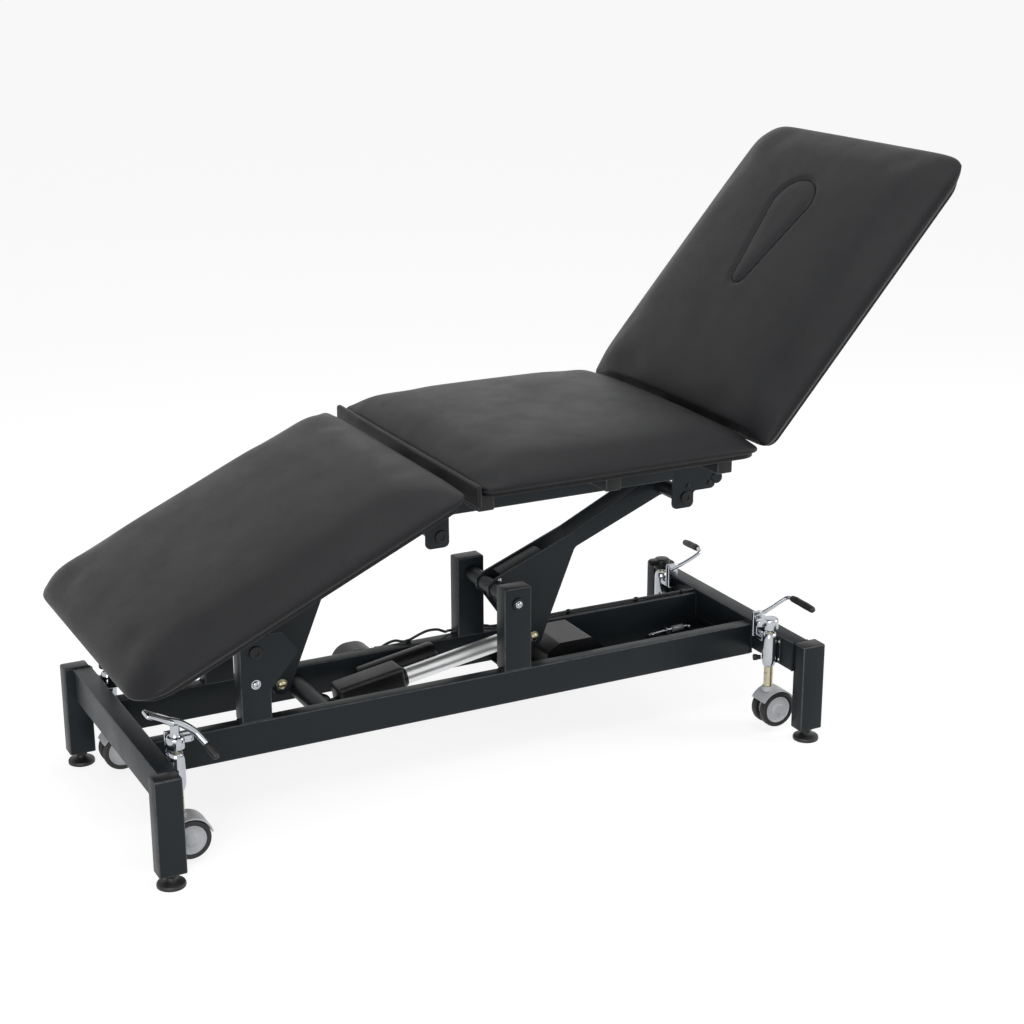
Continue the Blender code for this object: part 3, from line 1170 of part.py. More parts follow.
def cushion(body, start, sign, length, bottom, thickness, crown, corners):
    """A padded slab with a crowned top, rounded corners and drawn-in sides.

    It runs from start along X, with sign, and corners holds the radii of its first and
    last corners. The cage is larger by what smoothing draws in.
    """
    start -= sign * CUSHION_SHRINK
    length += 2 * CUSHION_SHRINK
    half = CUSHION_WIDTH / 2 + CUSHION_SHRINK
    lines = cushion_lines(length, *corners)
    side_lines = [line - half for line in cushion_lines(2 * half, max(corners), max(corners))]
    count = len(lines) - 1
    bm = bmesh.new()
    bmesh.ops.create_grid(bm, x_segments=count, y_segments=count, size=1)
    made = bmesh.ops.extrude_face_region(bm, geom=list(bm.faces), use_keep_orig=True)
    raised = [item for item in made["geom"] if isinstance(item, bmesh.types.BMVert)]
    bmesh.ops.translate(bm, vec=(0, 0, 1), verts=raised)
    rim = [edge for edge in bm.edges if edge.verts[0].co.z != edge.verts[1].co.z]
    bmesh.ops.subdivide_edges(bm, edges=rim, cuts=1)
    for vert in bm.verts:
        layer = vert.co.z
        along = lines[round((vert.co.x + 1) / 2 * count)]
        across = side_lines[round((vert.co.y + 1) / 2 * count)]
        u = 2 * along / length - 1
        v = across / half
        across, along = round_corner(across, along, half, length, corners)
        inset = CUSHION_DRAW_IN * (1 - layer) ** 2 * 4 / 3 if layer < 1 else CUSHION_TOP_IN
        inset = inset if layer != 0.5 else 0
        along = inset + along * (length - 2 * inset) / length
        across = across * (half - inset) / half
        height = bottom + thickness * layer
        if layer == 1:
            height += crown * (1 - u ** 4) * (1 - v ** 4)
        vert.co = (start + sign * along, across, height)
    bmesh.ops.recalc_face_normals(bm, faces=bm.faces)
    pad = mesh_object("cushion", bm, body)
    soft = pad.modifiers.new("Soft form", "SUBSURF")
    soft.levels = 1
    soft.render_levels = 1
    pad.data.shade_smooth()
    return pad


def plug_shape(margin):
    """Teardrop outline of the face opening, seen from above the back section."""
    run = PLUG_WIDE_PLACE - PLUG_NARROW_PLACE
    lean = degrees(atan2(PLUG_WIDE_RADIUS - PLUG_NARROW_RADIUS, run))
    wide = arc((PLUG_WIDE_PLACE, PLUG_OFFSET), PLUG_WIDE_RADIUS - margin, -90 - lean, 90 + lean,
               PLUG_WIDE_STEPS)
    narrow = arc((PLUG_NARROW_PLACE, PLUG_OFFSET), PLUG_NARROW_RADIUS - margin,
                 90 + lean, 270 - lean, HOOD_STEPS)
    return wide + narrow


def back_cushion(body):
    """The back section's padded slab, drawn in the section's own frame."""
    return cushion(body, BACK_CUSHION_NEAR, 1, BACK_CUSHION_FAR - BACK_CUSHION_NEAR,
                   BACK_CUSHION_BOTTOM, BACK_CUSHION_THICKNESS, BACK_CROWN,
                   (CUSHION_CORNER, CUSHION_CORNER))


def top_sections(top):
    """Seat, leg and back sections with their frames, cushions and gas springs."""
    seat_frame(top)
    seat = cushion(top, SEAT_CUSHION_START, 1, SEAT_CUSHION_END - SEAT_CUSHION_START,
                   SEAT_CUSHION_BOTTOM, SEAT_CUSHION_THICKNESS, SEAT_CROWN,
                   (CUSHION_CORNER, CUSHION_CORNER))
    finish(seat, "cushion_seat", VINYL)
    strip_x = SEAT_CUSHION_START - TOUCH_GAP
    reach = CUSHION_WIDTH / 2 - STRIP_INSET
    strip = block(top, (strip_x - STRIP_WIDTH, strip_x), (-reach, reach),
                  (STRIP_BOTTOM, STRIP_TOP), STRIP_EDGE)
    finish(strip, "hinge_cover_strip", VINYL)

    leg = pivot("leg_hinge", (LEG_HINGE[0], 0, LEG_HINGE[1]), top, -radians(LEG_ANGLE))
    leg_bars = (LEG_BAR_BOTTOM, LEG_BAR_BOTTOM + SECTION_BAR_HEIGHT)
    section_frame(leg, "leg_frame", -1, leg_bars, LEG_CRANK,
                  LEG_CRANK_REST - radians(LEG_ANGLE), -SPRING_SIDE)
    pad = cushion(leg, -LEG_CUSHION_NEAR, -1, LEG_CUSHION_FAR - LEG_CUSHION_NEAR,
                  LEG_CUSHION_BOTTOM, LEG_CUSHION_THICKNESS, LEG_CROWN,
                  (CUSHION_CORNER, FOOT_CORNER))
    finish(pad, "cushion_leg", VINYL)

    back = pivot("back_hinge", (BACK_HINGE[0], 0, BACK_HINGE[1]), top, -radians(BACK_ANGLE))
    back_bars = (BACK_BAR_TOP - SECTION_BAR_HEIGHT, BACK_BAR_TOP)
    section_frame(back, "back_frame", 1, back_bars, BACK_CRANK,
                  BACK_CRANK_REST - radians(BACK_ANGLE), SPRING_SIDE)
    rest = back_cushion(back)
    hole = flat_plate(back, plug_shape(0), (BACK_CUSHION_BOTTOM - OVERRUN,
                                            BACK_CUSHION_BOTTOM + BACK_CUSHION_THICKNESS
                                            + BACK_CROWN + OVERRUN))
    cut(rest, hole)
    finish(rest, "cushion_back", VINYL)
    plug_axis = pivot("face_plug_slide", (PLUG_WIDE_PLACE, PLUG_OFFSET, 0), back)
    plug = back_cushion(plug_axis)
    inside = flat_plate(plug_axis, plug_shape(PLUG_GAP),
                        (BACK_CUSHION_BOTTOM - OVERRUN, BACK_CUSHION_BOTTOM
                         + BACK_CUSHION_THICKNESS + BACK_CROWN + OVERRUN))
    combine(plug, [inside], "INTERSECT")
    finish(plug, "face_plug", VINYL)

    gas_spring(top, "leg", SPRING_BLOCK_PLACE, LEG_SPRING_MOUTH, LEG_CRANK_END, -1)
    gas_spring(top, "back", SPRING_BLOCK_PLACE + SPRING_BLOCK_DEPTH, BACK_SPRING_MOUTH,
               BACK_CRANK_END, 1)


def main():
    """Build the whole table."""
    clear_scene()
    base = pivot("table", (FOOT_END_X, 0, 0))
    base_frame(base)
    levelling_feet(base)
    top = lift(base)
    actuator(base)
    tray_and_control_box(base)
    cable(base)
    foot_switch(base)
    castors(base)
    top_sections(top)


main()
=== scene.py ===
"""Looks for the treatment table: upholstery, powder-coated frame, castors and lift drive."""
from math import atan2, cos, degrees, pi, radians, sin, sqrt

import bmesh
import bpy
from mathutils import Matrix, Vector
from mathutils.bvhtree import BVHTree


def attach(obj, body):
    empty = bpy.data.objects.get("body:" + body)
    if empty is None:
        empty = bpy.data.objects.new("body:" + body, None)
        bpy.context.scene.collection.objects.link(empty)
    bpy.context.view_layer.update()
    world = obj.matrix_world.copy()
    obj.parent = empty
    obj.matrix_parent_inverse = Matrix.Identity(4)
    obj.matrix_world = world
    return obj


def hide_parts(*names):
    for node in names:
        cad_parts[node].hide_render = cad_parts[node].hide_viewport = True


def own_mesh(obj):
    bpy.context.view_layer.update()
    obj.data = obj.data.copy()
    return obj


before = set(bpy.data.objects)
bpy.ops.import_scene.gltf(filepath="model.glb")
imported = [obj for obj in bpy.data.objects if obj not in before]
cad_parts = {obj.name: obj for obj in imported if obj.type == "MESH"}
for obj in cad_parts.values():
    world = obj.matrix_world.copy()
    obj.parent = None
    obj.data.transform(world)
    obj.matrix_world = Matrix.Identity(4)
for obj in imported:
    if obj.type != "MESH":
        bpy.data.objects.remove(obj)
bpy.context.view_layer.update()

# Sizes of the frame, in metres, in table coordinates: along from the foot end, across, up
FOOT_END_X = -0.870
CASTOR_PLACES = {"foot": 0.0755, "head": 1.4145}
CASTOR_SIDE = 0.225
BASE_LENGTH = 1.490
BASE_HALF = 0.325
LEG_LENGTH = 0.055
LEG_IN = 0.287
LEG_TOP = 0.222
RAIL_TOP = 0.2135
RAIL_OUT = 0.130
RAIL_IN = 0.100
BAR_OUT = 0.0175
BAR_IN = 0.0575
POST_HALF = 0.0315
LEVER_HEIGHT = 0.245
FOOT_LOW = Vector((0.272, 0, 0.360))
HEAD_LOW = Vector((0.848, 0, 0.360))
ARM = Vector((0.400, 0, 0.175))
REAR_PIN = Vector((0.470, 0, 0.162))
ROD_OFFSET = Vector((0.089, 0, -0.122))
ROD_PIN = HEAD_LOW + ROD_OFFSET
LEG_HINGE = Vector((0.655, 0, 0.640))
BACK_HINGE = Vector((1.310, 0, 0.664))
LEG_ANGLE = radians(24.5)
BACK_ANGLE = radians(48.9)
UP = Vector((0, 0, 1))
SIDES = (("near", -1), ("far", 1))
ENDS = (("foot", -1), ("head", 1))
POSTS = (("foot", FOOT_LOW), ("head", HEAD_LOW))


def at(point):
    """Table coordinates as a point of the frame."""
    return Vector((point[0] + FOOT_END_X, point[1], point[2]))


def turned_place(hinge, angle, point):
    """A point of a tilted section's own frame as a point of the frame."""
    along, across, up = point
    return at((hinge.x + along * cos(angle) - up * sin(angle), across,
               hinge.z + along * sin(angle) + up * cos(angle)))


# ---------------------------------------------------------------- node trees

def socket(sockets, name):
    """A socket by its name or number."""
    return sockets[int(name) if name.isdigit() else name]


def net(tree, nodes, wires):
    """Nodes from a table of kinds and values, joined by lines of node.socket > node.socket."""
    made = {}
    for key, (kind, values) in nodes.items():
        node = made[key] = tree.nodes.new(kind)
        for name, value in values.items():
            if isinstance(name, str) and name.islower():
                setattr(node, name, value)
            else:
                node.inputs[name].default_value = value
    for line in wires.strip().splitlines():
        (start, out), (end, into) = (side.strip().split(".") for side in line.split(">"))
        tree.links.new(socket(made[start].outputs, out), socket(made[end].inputs, into))
    return made


def node_group(name, kind, inputs, outputs, nodes, wires):
    """A node group: sockets by kind or first value, then its nodes and wires."""
    group = bpy.data.node_groups.new(name, kind + "NodeTree")
    for way, sockets in (("INPUT", inputs), ("OUTPUT", outputs)):
        for label, value in sockets.items():
            form = ("Color" if isinstance(value, tuple) else
                    "Float" if isinstance(value, float) else value)
            made = group.interface.new_socket(name=label, in_out=way,
                                              socket_type="NodeSocket" + form)
            if form != value:
                made.default_value = value
    net(group, {"in": ("NodeGroupInput", {}), "out": ("NodeGroupOutput", {}), **nodes}, wires)
    return group


def noise(detail, roughness=0.5, **scale):
    """The table row of a noise texture."""
    return "ShaderNodeTexNoise", {"Detail": detail, "Roughness": roughness, **scale}


def maths(operation, values=None):
    """The table row of a sum."""
    return "ShaderNodeMath", {"operation": operation, **(values or {})}


PLACE = ("ShaderNodeTexCoord", {})
COLOUR_MIX = ("ShaderNodeMix", {"data_type": "RGBA"})

# Pressed leather grain: rounded pebbles with fine creases between them
GRAIN = node_group(
    "pressed_grain", "Shader", {"Pebble scale": 900.0, "Crease": 0.55}, {"Height": "Float"},
    {"place": PLACE, "warp": noise(3.0, Scale=140.0), "broad": noise(4.0, Scale=60.0),
     "shift": ("ShaderNodeVectorMath", {"operation": "MULTIPLY_ADD", 1: (0.0016,) * 3}),
     "cells": ("ShaderNodeTexVoronoi", {"feature": "DISTANCE_TO_EDGE"}),
     "ramp": ("ShaderNodeMapRange", {"interpolation_type": "SMOOTHSTEP", "From Max": 0.28}),
     "blend": ("ShaderNodeMix", {})}, """
    place.Object > warp.Vector
    place.Object > broad.Vector
    warp.Color > shift.0
    place.Object > shift.2
    shift.0 > cells.Vector
    in.Pebble scale > cells.Scale
    cells.Distance > ramp.Value
    in.Crease > blend.0
    broad.Fac > blend.2
    ramp.Result > blend.3
    blend.0 > out.Height""")

# The fine dimpled skin of a baked powder coat or a moulded plastic
PEEL = node_group(
    "orange_peel", "Shader", {"Dimple scale": 650.0, "Speckle scale": 2600.0},
    {"Height": "Float"},
    {"place": PLACE, "dimples": noise(1.0), "speckle": noise(2.0),
     "blend": ("ShaderNodeMix", {0: 0.4})}, """
    place.Object > dimples.Vector
    place.Object > speckle.Vector
    in.Dimple scale > dimples.Scale
    in.Speckle scale > speckle.Scale
    dimples.Fac > blend.2
    speckle.Fac > blend.3
    blend.0 > out.Height""")

# Soft patches of a second tone, from handling and dust
TONE = node_group(
    "uneven_tone", "Shader",
    {"Colour": (0.02, 0.02, 0.02, 1), "Second colour": (0.03, 0.03, 0.03, 1),
     "Patch scale": 9.0, "Amount": 0.6}, {"Colour": "Color"},
    {"place": PLACE, "patches": noise(5.0, 0.6), "weight": maths("MULTIPLY"),
     "ramp": ("ShaderNodeMapRange", {"From Min": 0.35, "From Max": 0.75}),
     "blend": COLOUR_MIX}, """
    place.Object > patches.Vector
    in.Patch scale > patches.Scale
    patches.Fac > ramp.Value
    ramp.Result > weight.0
    in.Amount > weight.1
    weight.0 > blend.0
    in.Colour > blend.6
    in.Second colour > blend.7
    blend.2 > out.Colour""")

# Roughness that wanders between two values, with fine rubbed marks
GLOSS = node_group(
    "wandering_gloss", "Shader",
    {"Low": 0.3, "High": 0.5, "Patch scale": 14.0, "Mark scale": 180.0}, {"Roughness": "Float"},
    {"place": PLACE, "patches": noise(4.0), "marks": noise(3.0, 0.7),
     "blend": ("ShaderNodeMix", {0: 0.35}),
     "spread": ("ShaderNodeMapRange", {"From Min": 0.3, "From Max": 0.7})}, """
    place.Object > patches.Vector
    place.Object > marks.Vector
    in.Patch scale > patches.Scale
    in.Mark scale > marks.Scale
    patches.Fac > blend.2
    marks.Fac > blend.3
    blend.0 > spread.Value
    in.Low > spread.To Min
    in.High > spread.To Max
    spread.Result > out.Roughness""")

# Lighter edges where a piece's own edge mark says so, broken by noise: partly rubbed wear, partly a
# painted highlight on the rounded edges
EDGES = node_group(
    "worn_and_highlit_edges", "Shader",
    {"Colour": (0.02, 0.02, 0.02, 1), "Edge colour": (0.1, 0.1, 0.1, 1), "Amount": 0.6},
    {"Colour": "Color"},
    {"place": PLACE, "mark": ("ShaderNodeAttribute", {"attribute_name": "edge_mark"}),
     "chips": noise(5.0, 0.7, Scale=55.0), "broken": maths("MULTIPLY"),
     "share": maths("MULTIPLY"), "blend": COLOUR_MIX,
     "ramp": ("ShaderNodeMapRange", {"From Min": 0.30, "From Max": 0.60, "To Min": 0.35})}, """
    place.Object > chips.Vector
    chips.Fac > ramp.Value
    mark.Fac > broken.0
    ramp.Result > broken.1
    broken.0 > share.0
    in.Amount > share.1
    share.0 > blend.0
    in.Colour > blend.6
    in.Edge colour > blend.7
    blend.2 > out.Colour""")

SLOTS = {}


def placed(material, group, **values):
    """A group node in a material, with its inputs set."""
    node = material.node_tree.nodes.new("ShaderNodeGroup")
    node.node_tree = group
    for name, value in values.items():
        node.inputs[name.replace("_", " ")].default_value = value
    return node


def surface(name, slot, colour, second, gloss, skin, depth, patch=9.0, metallic=0.0,
            fixed=None, edge_wear_and_highlight=None, relief=PEEL):
    """A finished material: uneven tone, wandering gloss and a relief for the bump."""
    material = bpy.data.materials.new(name)
    SLOTS[material.name] = slot
    material.use_nodes = True
    links = material.node_tree.links
    shader = material.node_tree.nodes["Principled BSDF"]
    shader.inputs["Metallic"].default_value = metallic
    finish = tone = placed(material, TONE, Colour=(*colour, 1), Second_colour=(*second, 1),
                           Patch_scale=patch)
    # Lighter edges: part rubbed wear, part painted highlight on the rounded edges
    if edge_wear_and_highlight:
        finish = placed(material, EDGES, Edge_colour=(*edge_wear_and_highlight[0], 1), Amount=edge_wear_and_highlight[1])
        links.new(tone.outputs["Colour"], finish.inputs["Colour"])
    links.new(finish.outputs["Colour"], shader.inputs["Base Color"])
    rough = placed(material, GLOSS, Low=gloss[0], High=gloss[1])
    links.new(rough.outputs["Roughness"], shader.inputs["Roughness"])
    bump = material.node_tree.nodes.new("ShaderNodeBump")
    bump.inputs["Distance"].default_value = depth
    bump.inputs["Strength"].default_value = 1.0
    group = placed(material, relief)
    for label, value in zip([s.name for s in group.inputs], skin):
        group.inputs[label].default_value = value
    links.new(group.outputs["Height"], bump.inputs["Height"])
    links.new(bump.outputs["Normal"], shader.inputs["Normal"])
    for label, value in (fixed or {}).items():
        shader.inputs[label].default_value = value
    material.diffuse_color = (*colour, 1)
    return material


# Name, slot, two tones, gloss from and to, scales of the skin, depth of the skin in metres
VINYL = surface("charcoal_vinyl", "vinyl", (0.0064, 0.0066, 0.0077), (0.0092, 0.0095, 0.0108),
                (0.36, 0.50), (620.0, 0.62), 0.00022, 5.0, relief=GRAIN,
                fixed={"Sheen Weight": 0.02, "Sheen Roughness": 0.4, "Specular IOR Level": 0.17})
THREAD = surface("seam_thread", "vinyl", (0.016, 0.016, 0.017), (0.030, 0.030, 0.031),
                 (0.6, 0.75), (1500.0, 4000.0), 0.0001)
# Powder coat and moulding get lighter edges: part wear, part painted highlight
POWDER = surface("satin_powder_coat", "powder_coat", (0.0106, 0.0140, 0.0166),
                 (0.0154, 0.0192, 0.0222), (0.32, 0.44), (480.0, 2200.0), 0.00009, 6.0,
                 edge_wear_and_highlight=((0.10, 0.104, 0.110), 0.75), fixed={"Specular IOR Level": 0.16})
PLASTIC = surface("black_moulding", "black_plastic", (0.0036, 0.0038, 0.0044),
                  (0.0064, 0.0066, 0.0074), (0.30, 0.44), (900.0, 3500.0), 0.00006,
                  edge_wear_and_highlight=((0.05, 0.05, 0.052), 0.5), fixed={"Specular IOR Level": 0.30})
JACKET = surface("cable_jacket", "cable_jacket", (0.012, 0.012, 0.013), (0.02, 0.02, 0.021),
                 (0.38, 0.5), (500.0, 3000.0), 0.00004)
RUBBER = surface("black_rubber", "black_plastic", (0.0040, 0.0040, 0.0042),
                 (0.0085, 0.0085, 0.0086), (0.42, 0.60), (700.0, 2800.0), 0.0001)
CHROME = surface("polished_chrome", "chrome", (0.47, 0.49, 0.52), (0.36, 0.38, 0.41),
                 (0.09, 0.20), (70.0, 900.0), 0.00004, 22.0, 1.0)
SATIN = surface("satin_aluminium", "satin_aluminium", (0.82, 0.825, 0.83), (0.76, 0.765, 0.77),
                (0.36, 0.44), (800.0, 3500.0), 0.00003, 16.0, 1.0)
STEEL = surface("ground_steel", "bright_steel", (0.50, 0.50, 0.51), (0.38, 0.38, 0.39),
                (0.18, 0.32), (900.0, 3500.0), 0.00004, metallic=1.0)
ZINC = surface("yellow_zinc_plate", "zinc_plate", (0.50, 0.46, 0.32), (0.36, 0.33, 0.24),
               (0.2, 0.36), (400.0, 2500.0), 0.00004, 60.0, 1.0)
GREY = surface("light_grey_moulding", "grey_plastic", (0.47, 0.48, 0.50), (0.40, 0.41, 0.43),
               (0.30, 0.44), (500.0, 3000.0), 0.00004)
OXIDE = surface("black_oxide_steel", "black_pins", (0.010, 0.010, 0.011), (0.018, 0.0175, 0.017),
                (0.26, 0.40), (600.0, 3000.0), 0.00005, metallic=0.6)
CLEAR = surface("smoky_clear_plastic", None, (0.55, 0.56, 0.57), (0.45, 0.46, 0.47), (0.1, 0.2),
                (60.0, 900.0), 0.00003, fixed={"Transmission Weight": 0.5, "IOR": 1.46})


# ---------------------------------------------------------------- mesh tools

def add(name, shape):
    """A new object from a mesh, a lamp, a camera, a curve, or a bmesh that is used up."""
    if isinstance(shape, bmesh.types.BMesh):
        bm, shape = shape, bpy.data.meshes.new(name)
        bm.to_mesh(shape)
        bm.free()
    made = bpy.data.objects.new(name, shape)
    bpy.context.scene.collection.objects.link(made)
    return made


def solid(name, bm):
    """An object from a bmesh, with its faces outwards."""
    bmesh.ops.recalc_face_normals(bm, faces=bm.faces)
    return add(name, bm)


def smoothed(mesh, sharp):
    """Smooth shading, but for edges sharper than an angle in degrees."""
    mesh.shade_smooth()
    mesh.set_sharp_from_angle(angle=radians(sharp))


def plain_mesh(made):
    """The mesh that an object's modifiers leave."""
    graph = bpy.context.evaluated_depsgraph_get()
    return bpy.data.meshes.new_from_object(made.evaluated_get(graph))


def settle(made, body, material, node=None, slot=None):
    """Ride on a body and stand for a CAD node; the slot is looked up but not kept."""
    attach(made, body)
    if node:
        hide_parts(node)
    slot = slot or SLOTS[material.name]
    return made


def piece(name, bm, material, body, node=None, slot=None, sharp=38):
    """A finished piece from a bmesh in frame coordinates."""
    made = solid(name, bm)
    made.data.materials.append(material)
    smoothed(made.data, sharp)
    return settle(made, body, material, node, slot)


def part(name, material, body, *shapes, **more):
    """A piece made of shapes, each a tool and its measures."""
    bm = bmesh.new()
    for tool, *measures in shapes:
        tool(bm, *measures)
    return piece(name, bm, material, body, **more)


def mm(text):
    """Points or pairs of radius and height, written in millimetres, in metres."""
    return [tuple(float(size) / 1000 for size in point.split()) for point in text.split(",")]


def basis(axis):
    """Two unit vectors square to an axis."""
    axis = axis.normalized()
    side = axis.cross(UP if abs(axis.z) < 0.9 else Vector((1, 0, 0))).normalized()
    return side, axis.cross(side).normalized()


def lathe(bm, origin, axis, profile, sides=40):
    """A closed turned body: profile of (radius, height) from one end to the other."""
    axis = Vector(axis).normalized()
    origin = Vector(origin)
    side, other = basis(axis)
    rings = []
    for radius, height in profile:
        centre = origin + axis * height
        if radius < 1e-6:
            rings.append([bm.verts.new(centre)])
            continue
        rings.append([bm.verts.new(centre + (side * cos(2 * pi * k / sides)
                                             + other * sin(2 * pi * k / sides)) * radius)
                      for k in range(sides)])
    join_rings(bm, rings)


def join_rings(bm, rings):
    """Faces between neighbouring rings, and caps on open ends."""
    for lower, upper in zip(rings, rings[1:]):
        count = max(len(lower), len(upper))
        for k in range(count):
            n = (k + 1) % count
            if len(lower) == 1:
                bm.faces.new((lower[0], upper[n], upper[k]))
            elif len(upper) == 1:
                bm.faces.new((lower[k], lower[n], upper[0]))
            else:
                bm.faces.new((lower[k], lower[n], upper[n], upper[k]))
    for ring in (rings[0], rings[-1]):
        if len(ring) > 2:
            bm.faces.new(ring)


def band(bm, lower, upper):
    """Faces between two closed rings of one count."""
    for a, b, c, d in zip(lower, lower[1:] + lower[:1], upper[1:] + upper[:1], upper):
        bm.faces.new((a, b, c, d))


def ring_body(bm, origin, axis, profile, sides=40):
    """A turned body round a hole: the profile is a closed loop of (radius, height)."""
    axis = Vector(axis).normalized()
    origin = Vector(origin)
    side, other = basis(axis)
    loops = []
    for k in range(sides):
        angle = 2 * pi * k / sides
        out = side * cos(angle) + other * sin(angle)
        loops.append([bm.verts.new(origin + axis * height + out * radius)
                      for radius, height in profile])
    for k, loop in enumerate(loops):
        nearby = loops[(k + 1) % sides]
        for m in range(len(profile)):
            n = (m + 1) % len(profile)
            bm.faces.new((loop[m], nearby[m], nearby[n], loop[n]))


def smooth_points(points, parts=6):
    """A smooth curve through given points."""
    knots = [Vector(point) for point in points]
    padded = [2 * knots[0] - knots[1]] + knots + [2 * knots[-1] - knots[-2]]
    dense = []
    for a, b, c, d in zip(padded, padded[1:], padded[2:], padded[3:]):
        for index in range(parts):
            t = index / parts
            dense.append(0.5 * (2 * b + (c - a) * t + (2 * a - 5 * b + 4 * c - d) * t ** 2
                                + (3 * b - a - 3 * c + d) * t ** 3))
    return dense + [knots[-1]]


def smooth_values(values, parts=6):
    """Radii along a smooth curve, one for each of its points."""
    made = []
    for a, b in zip(values, values[1:]):
        made += [a + (b - a) * k / parts for k in range(parts)]
    return made + [values[-1]]


def sweep(bm, path, widths, sides=20):
    """A round bar along a path, with domed ends."""
    count = len(path)
    rings = []
    for index, point in enumerate(path):
        ahead = path[min(index + 1, count - 1)] - path[max(index - 1, 0)]
        ahead.normalize()
        across = ahead.cross(UP).normalized()
        up = across.cross(ahead).normalized()
        ring_set = [(0.0, 1.0)]
        if index == 0:
            ring_set = [(-0.98, 0.22), (-0.8, 0.6), (-0.45, 0.9), (0.0, 1.0)]
        if index == count - 1:
            ring_set = [(0.0, 1.0), (0.45, 0.9), (0.8, 0.6), (0.98, 0.22)]
        width = widths[index]
        for along, share in ring_set:
            centre = point + ahead * along * width
            rings.append([bm.verts.new(centre + across * cos(2 * pi * k / sides) * width * share
                                       + up * sin(2 * pi * k / sides) * width * share)
                          for k in range(sides)])
    join_rings(bm, rings)


def edge_marks(bm):
    """The layer that marks a piece's rounded edges for their lighter tone: part wear, part painted
    highlight.
    """
    layer = bm.verts.layers.float.get("edge_mark")
    return layer or bm.verts.layers.float.new("edge_mark")


def box(bm, low, high, edge, segments=3, turn=None):
    """A box between two corners with rounded edges."""
    low, high = Vector(low), Vector(high)
    marks = edge_marks(bm)
    before = set(bm.verts)
    made = bmesh.ops.create_cube(bm, size=1)["verts"]
    bmesh.ops.scale(bm, vec=high - low, verts=made)
    edges = list({e for v in made for e in v.link_edges})
    bmesh.ops.bevel(bm, geom=edges, offset=edge, segments=segments, profile=0.5, affect="EDGES")
    made = [vert for vert in bm.verts if vert not in before]
    half = (high - low) / 2
    for vert in made:
        flush = any(abs(abs(vert.co[k]) - half[k]) < 1e-6 for k in range(3))
        vert[marks] = 0.0 if flush else 1.0
    if turn:
        bmesh.ops.rotate(bm, cent=(0, 0, 0), matrix=turn, verts=made)
    bmesh.ops.translate(bm, vec=(low + high) / 2, verts=made)


def arc(centre, radius, start, end, steps):
    """Points on a circle between two angles in degrees."""
    return [(centre[0] + radius * cos(radians(start + (end - start) * k / steps)),
             centre[1] + radius * sin(radians(start + (end - start) * k / steps)))
            for k in range(steps + 1)]


def rounded(corners, steps=6):
    """An outline through corners (along, up, radius) with rounded corners."""
    outline = []
    for index, (x, z, radius) in enumerate(corners):
        here = Vector((x, z))
        before = (Vector(corners[index - 1][:2]) - here).normalized()
        after = (Vector(corners[(index + 1) % len(corners)][:2]) - here).normalized()
        if not radius:
            outline.append((x, z))
            continue
        half = before.angle(after) / 2
        centre = here + (before + after).normalized() * (radius / sin(half))
        run = radius * cos(half) / sin(half)
        first = here + before * run - centre
        sweep_angle = first.angle_signed(here + after * run - centre)
        for step in range(steps + 1):
            point = centre + Matrix.Rotation(-sweep_angle * step / steps, 2) @ first
            outline.append((point.x, point.y))
    return outline


def plate(bm, outline, low, high, edge, plane="side", segments=2, place=at):
    """A flat plate from an outline: side view between two places across, or plan view."""
    low, high = sorted((low, high))
    def where(point, level):
        if plane == "side":
            return place((point[0], level, point[1]))
        return place((point[0], point[1], level))
    marks = edge_marks(bm)
    before = set(bm.verts)
    first = [bm.verts.new(where(point, low)) for point in outline]
    last = [bm.verts.new(where(point, high)) for point in outline]
    caps = [bm.faces.new(first), bm.faces.new(last[::-1])]
    count = len(outline)
    for k in range(count):
        n = (k + 1) % count
        bm.faces.new((first[k], last[k], last[n], first[n]))
    rims = list({e for cap in caps for e in cap.edges})
    bmesh.ops.bevel(bm, geom=rims, offset=edge, segments=segments, profile=0.5, affect="EDGES")
    axis = 1 if plane == "side" else 2
    for vert in bm.verts:
        if vert not in before:
            depth = min(vert.co[axis] - low, high - vert.co[axis])
            vert[marks] = 1.0 if edge * 0.05 < depth < edge * 0.95 else 0.0


# ---------------------------------------------------------------- repeated details

REAL = {"real": ("GeometryNodeRealizeInstances", {}), "paint": ("GeometryNodeSetMaterial", {}),
        "item": ("GeometryNodeObjectInfo", {}), "place": ("GeometryNodeInstanceOnPoints", {})}
REAL_WIRES = """
    in.Item > item.Object
    item.Geometry > place.Instance
    place.0 > real.0
    real.0 > paint.0
    in.Finish > paint.Material
    paint.0 > out.0"""

# Items in a row along a path, each turned to it: weld beads and stitches
ALONG_PATH = node_group(
    "items_along_path", "Geometry",
    {"Geometry": "Geometry", "Item": "Object", "Spacing": "Float", "Size": "Float",
     "Jitter": "Float", "Seed": "Int", "Finish": "Material"}, {"Geometry": "Geometry"},
    {"curve": ("GeometryNodeMeshToCurve", {}),
     "dots": ("GeometryNodeCurveToPoints", {"mode": "LENGTH"}),
     "low": maths("SUBTRACT", {0: 1.0}), "high": maths("ADD", {0: 1.0}),
     "random": ("FunctionNodeRandomValue", {}), "size": maths("MULTIPLY"), **REAL}, """
    in.Geometry > curve.0
    curve.0 > dots.Curve
    in.Spacing > dots.Length
    in.Jitter > low.1
    in.Jitter > high.1
    low.0 > random.2
    high.0 > random.3
    in.Seed > random.Seed
    random.1 > size.0
    in.Size > size.1
    dots.Points > place.Points
    dots.Rotation > place.Rotation
    size.0 > place.Scale""" + REAL_WIRES)

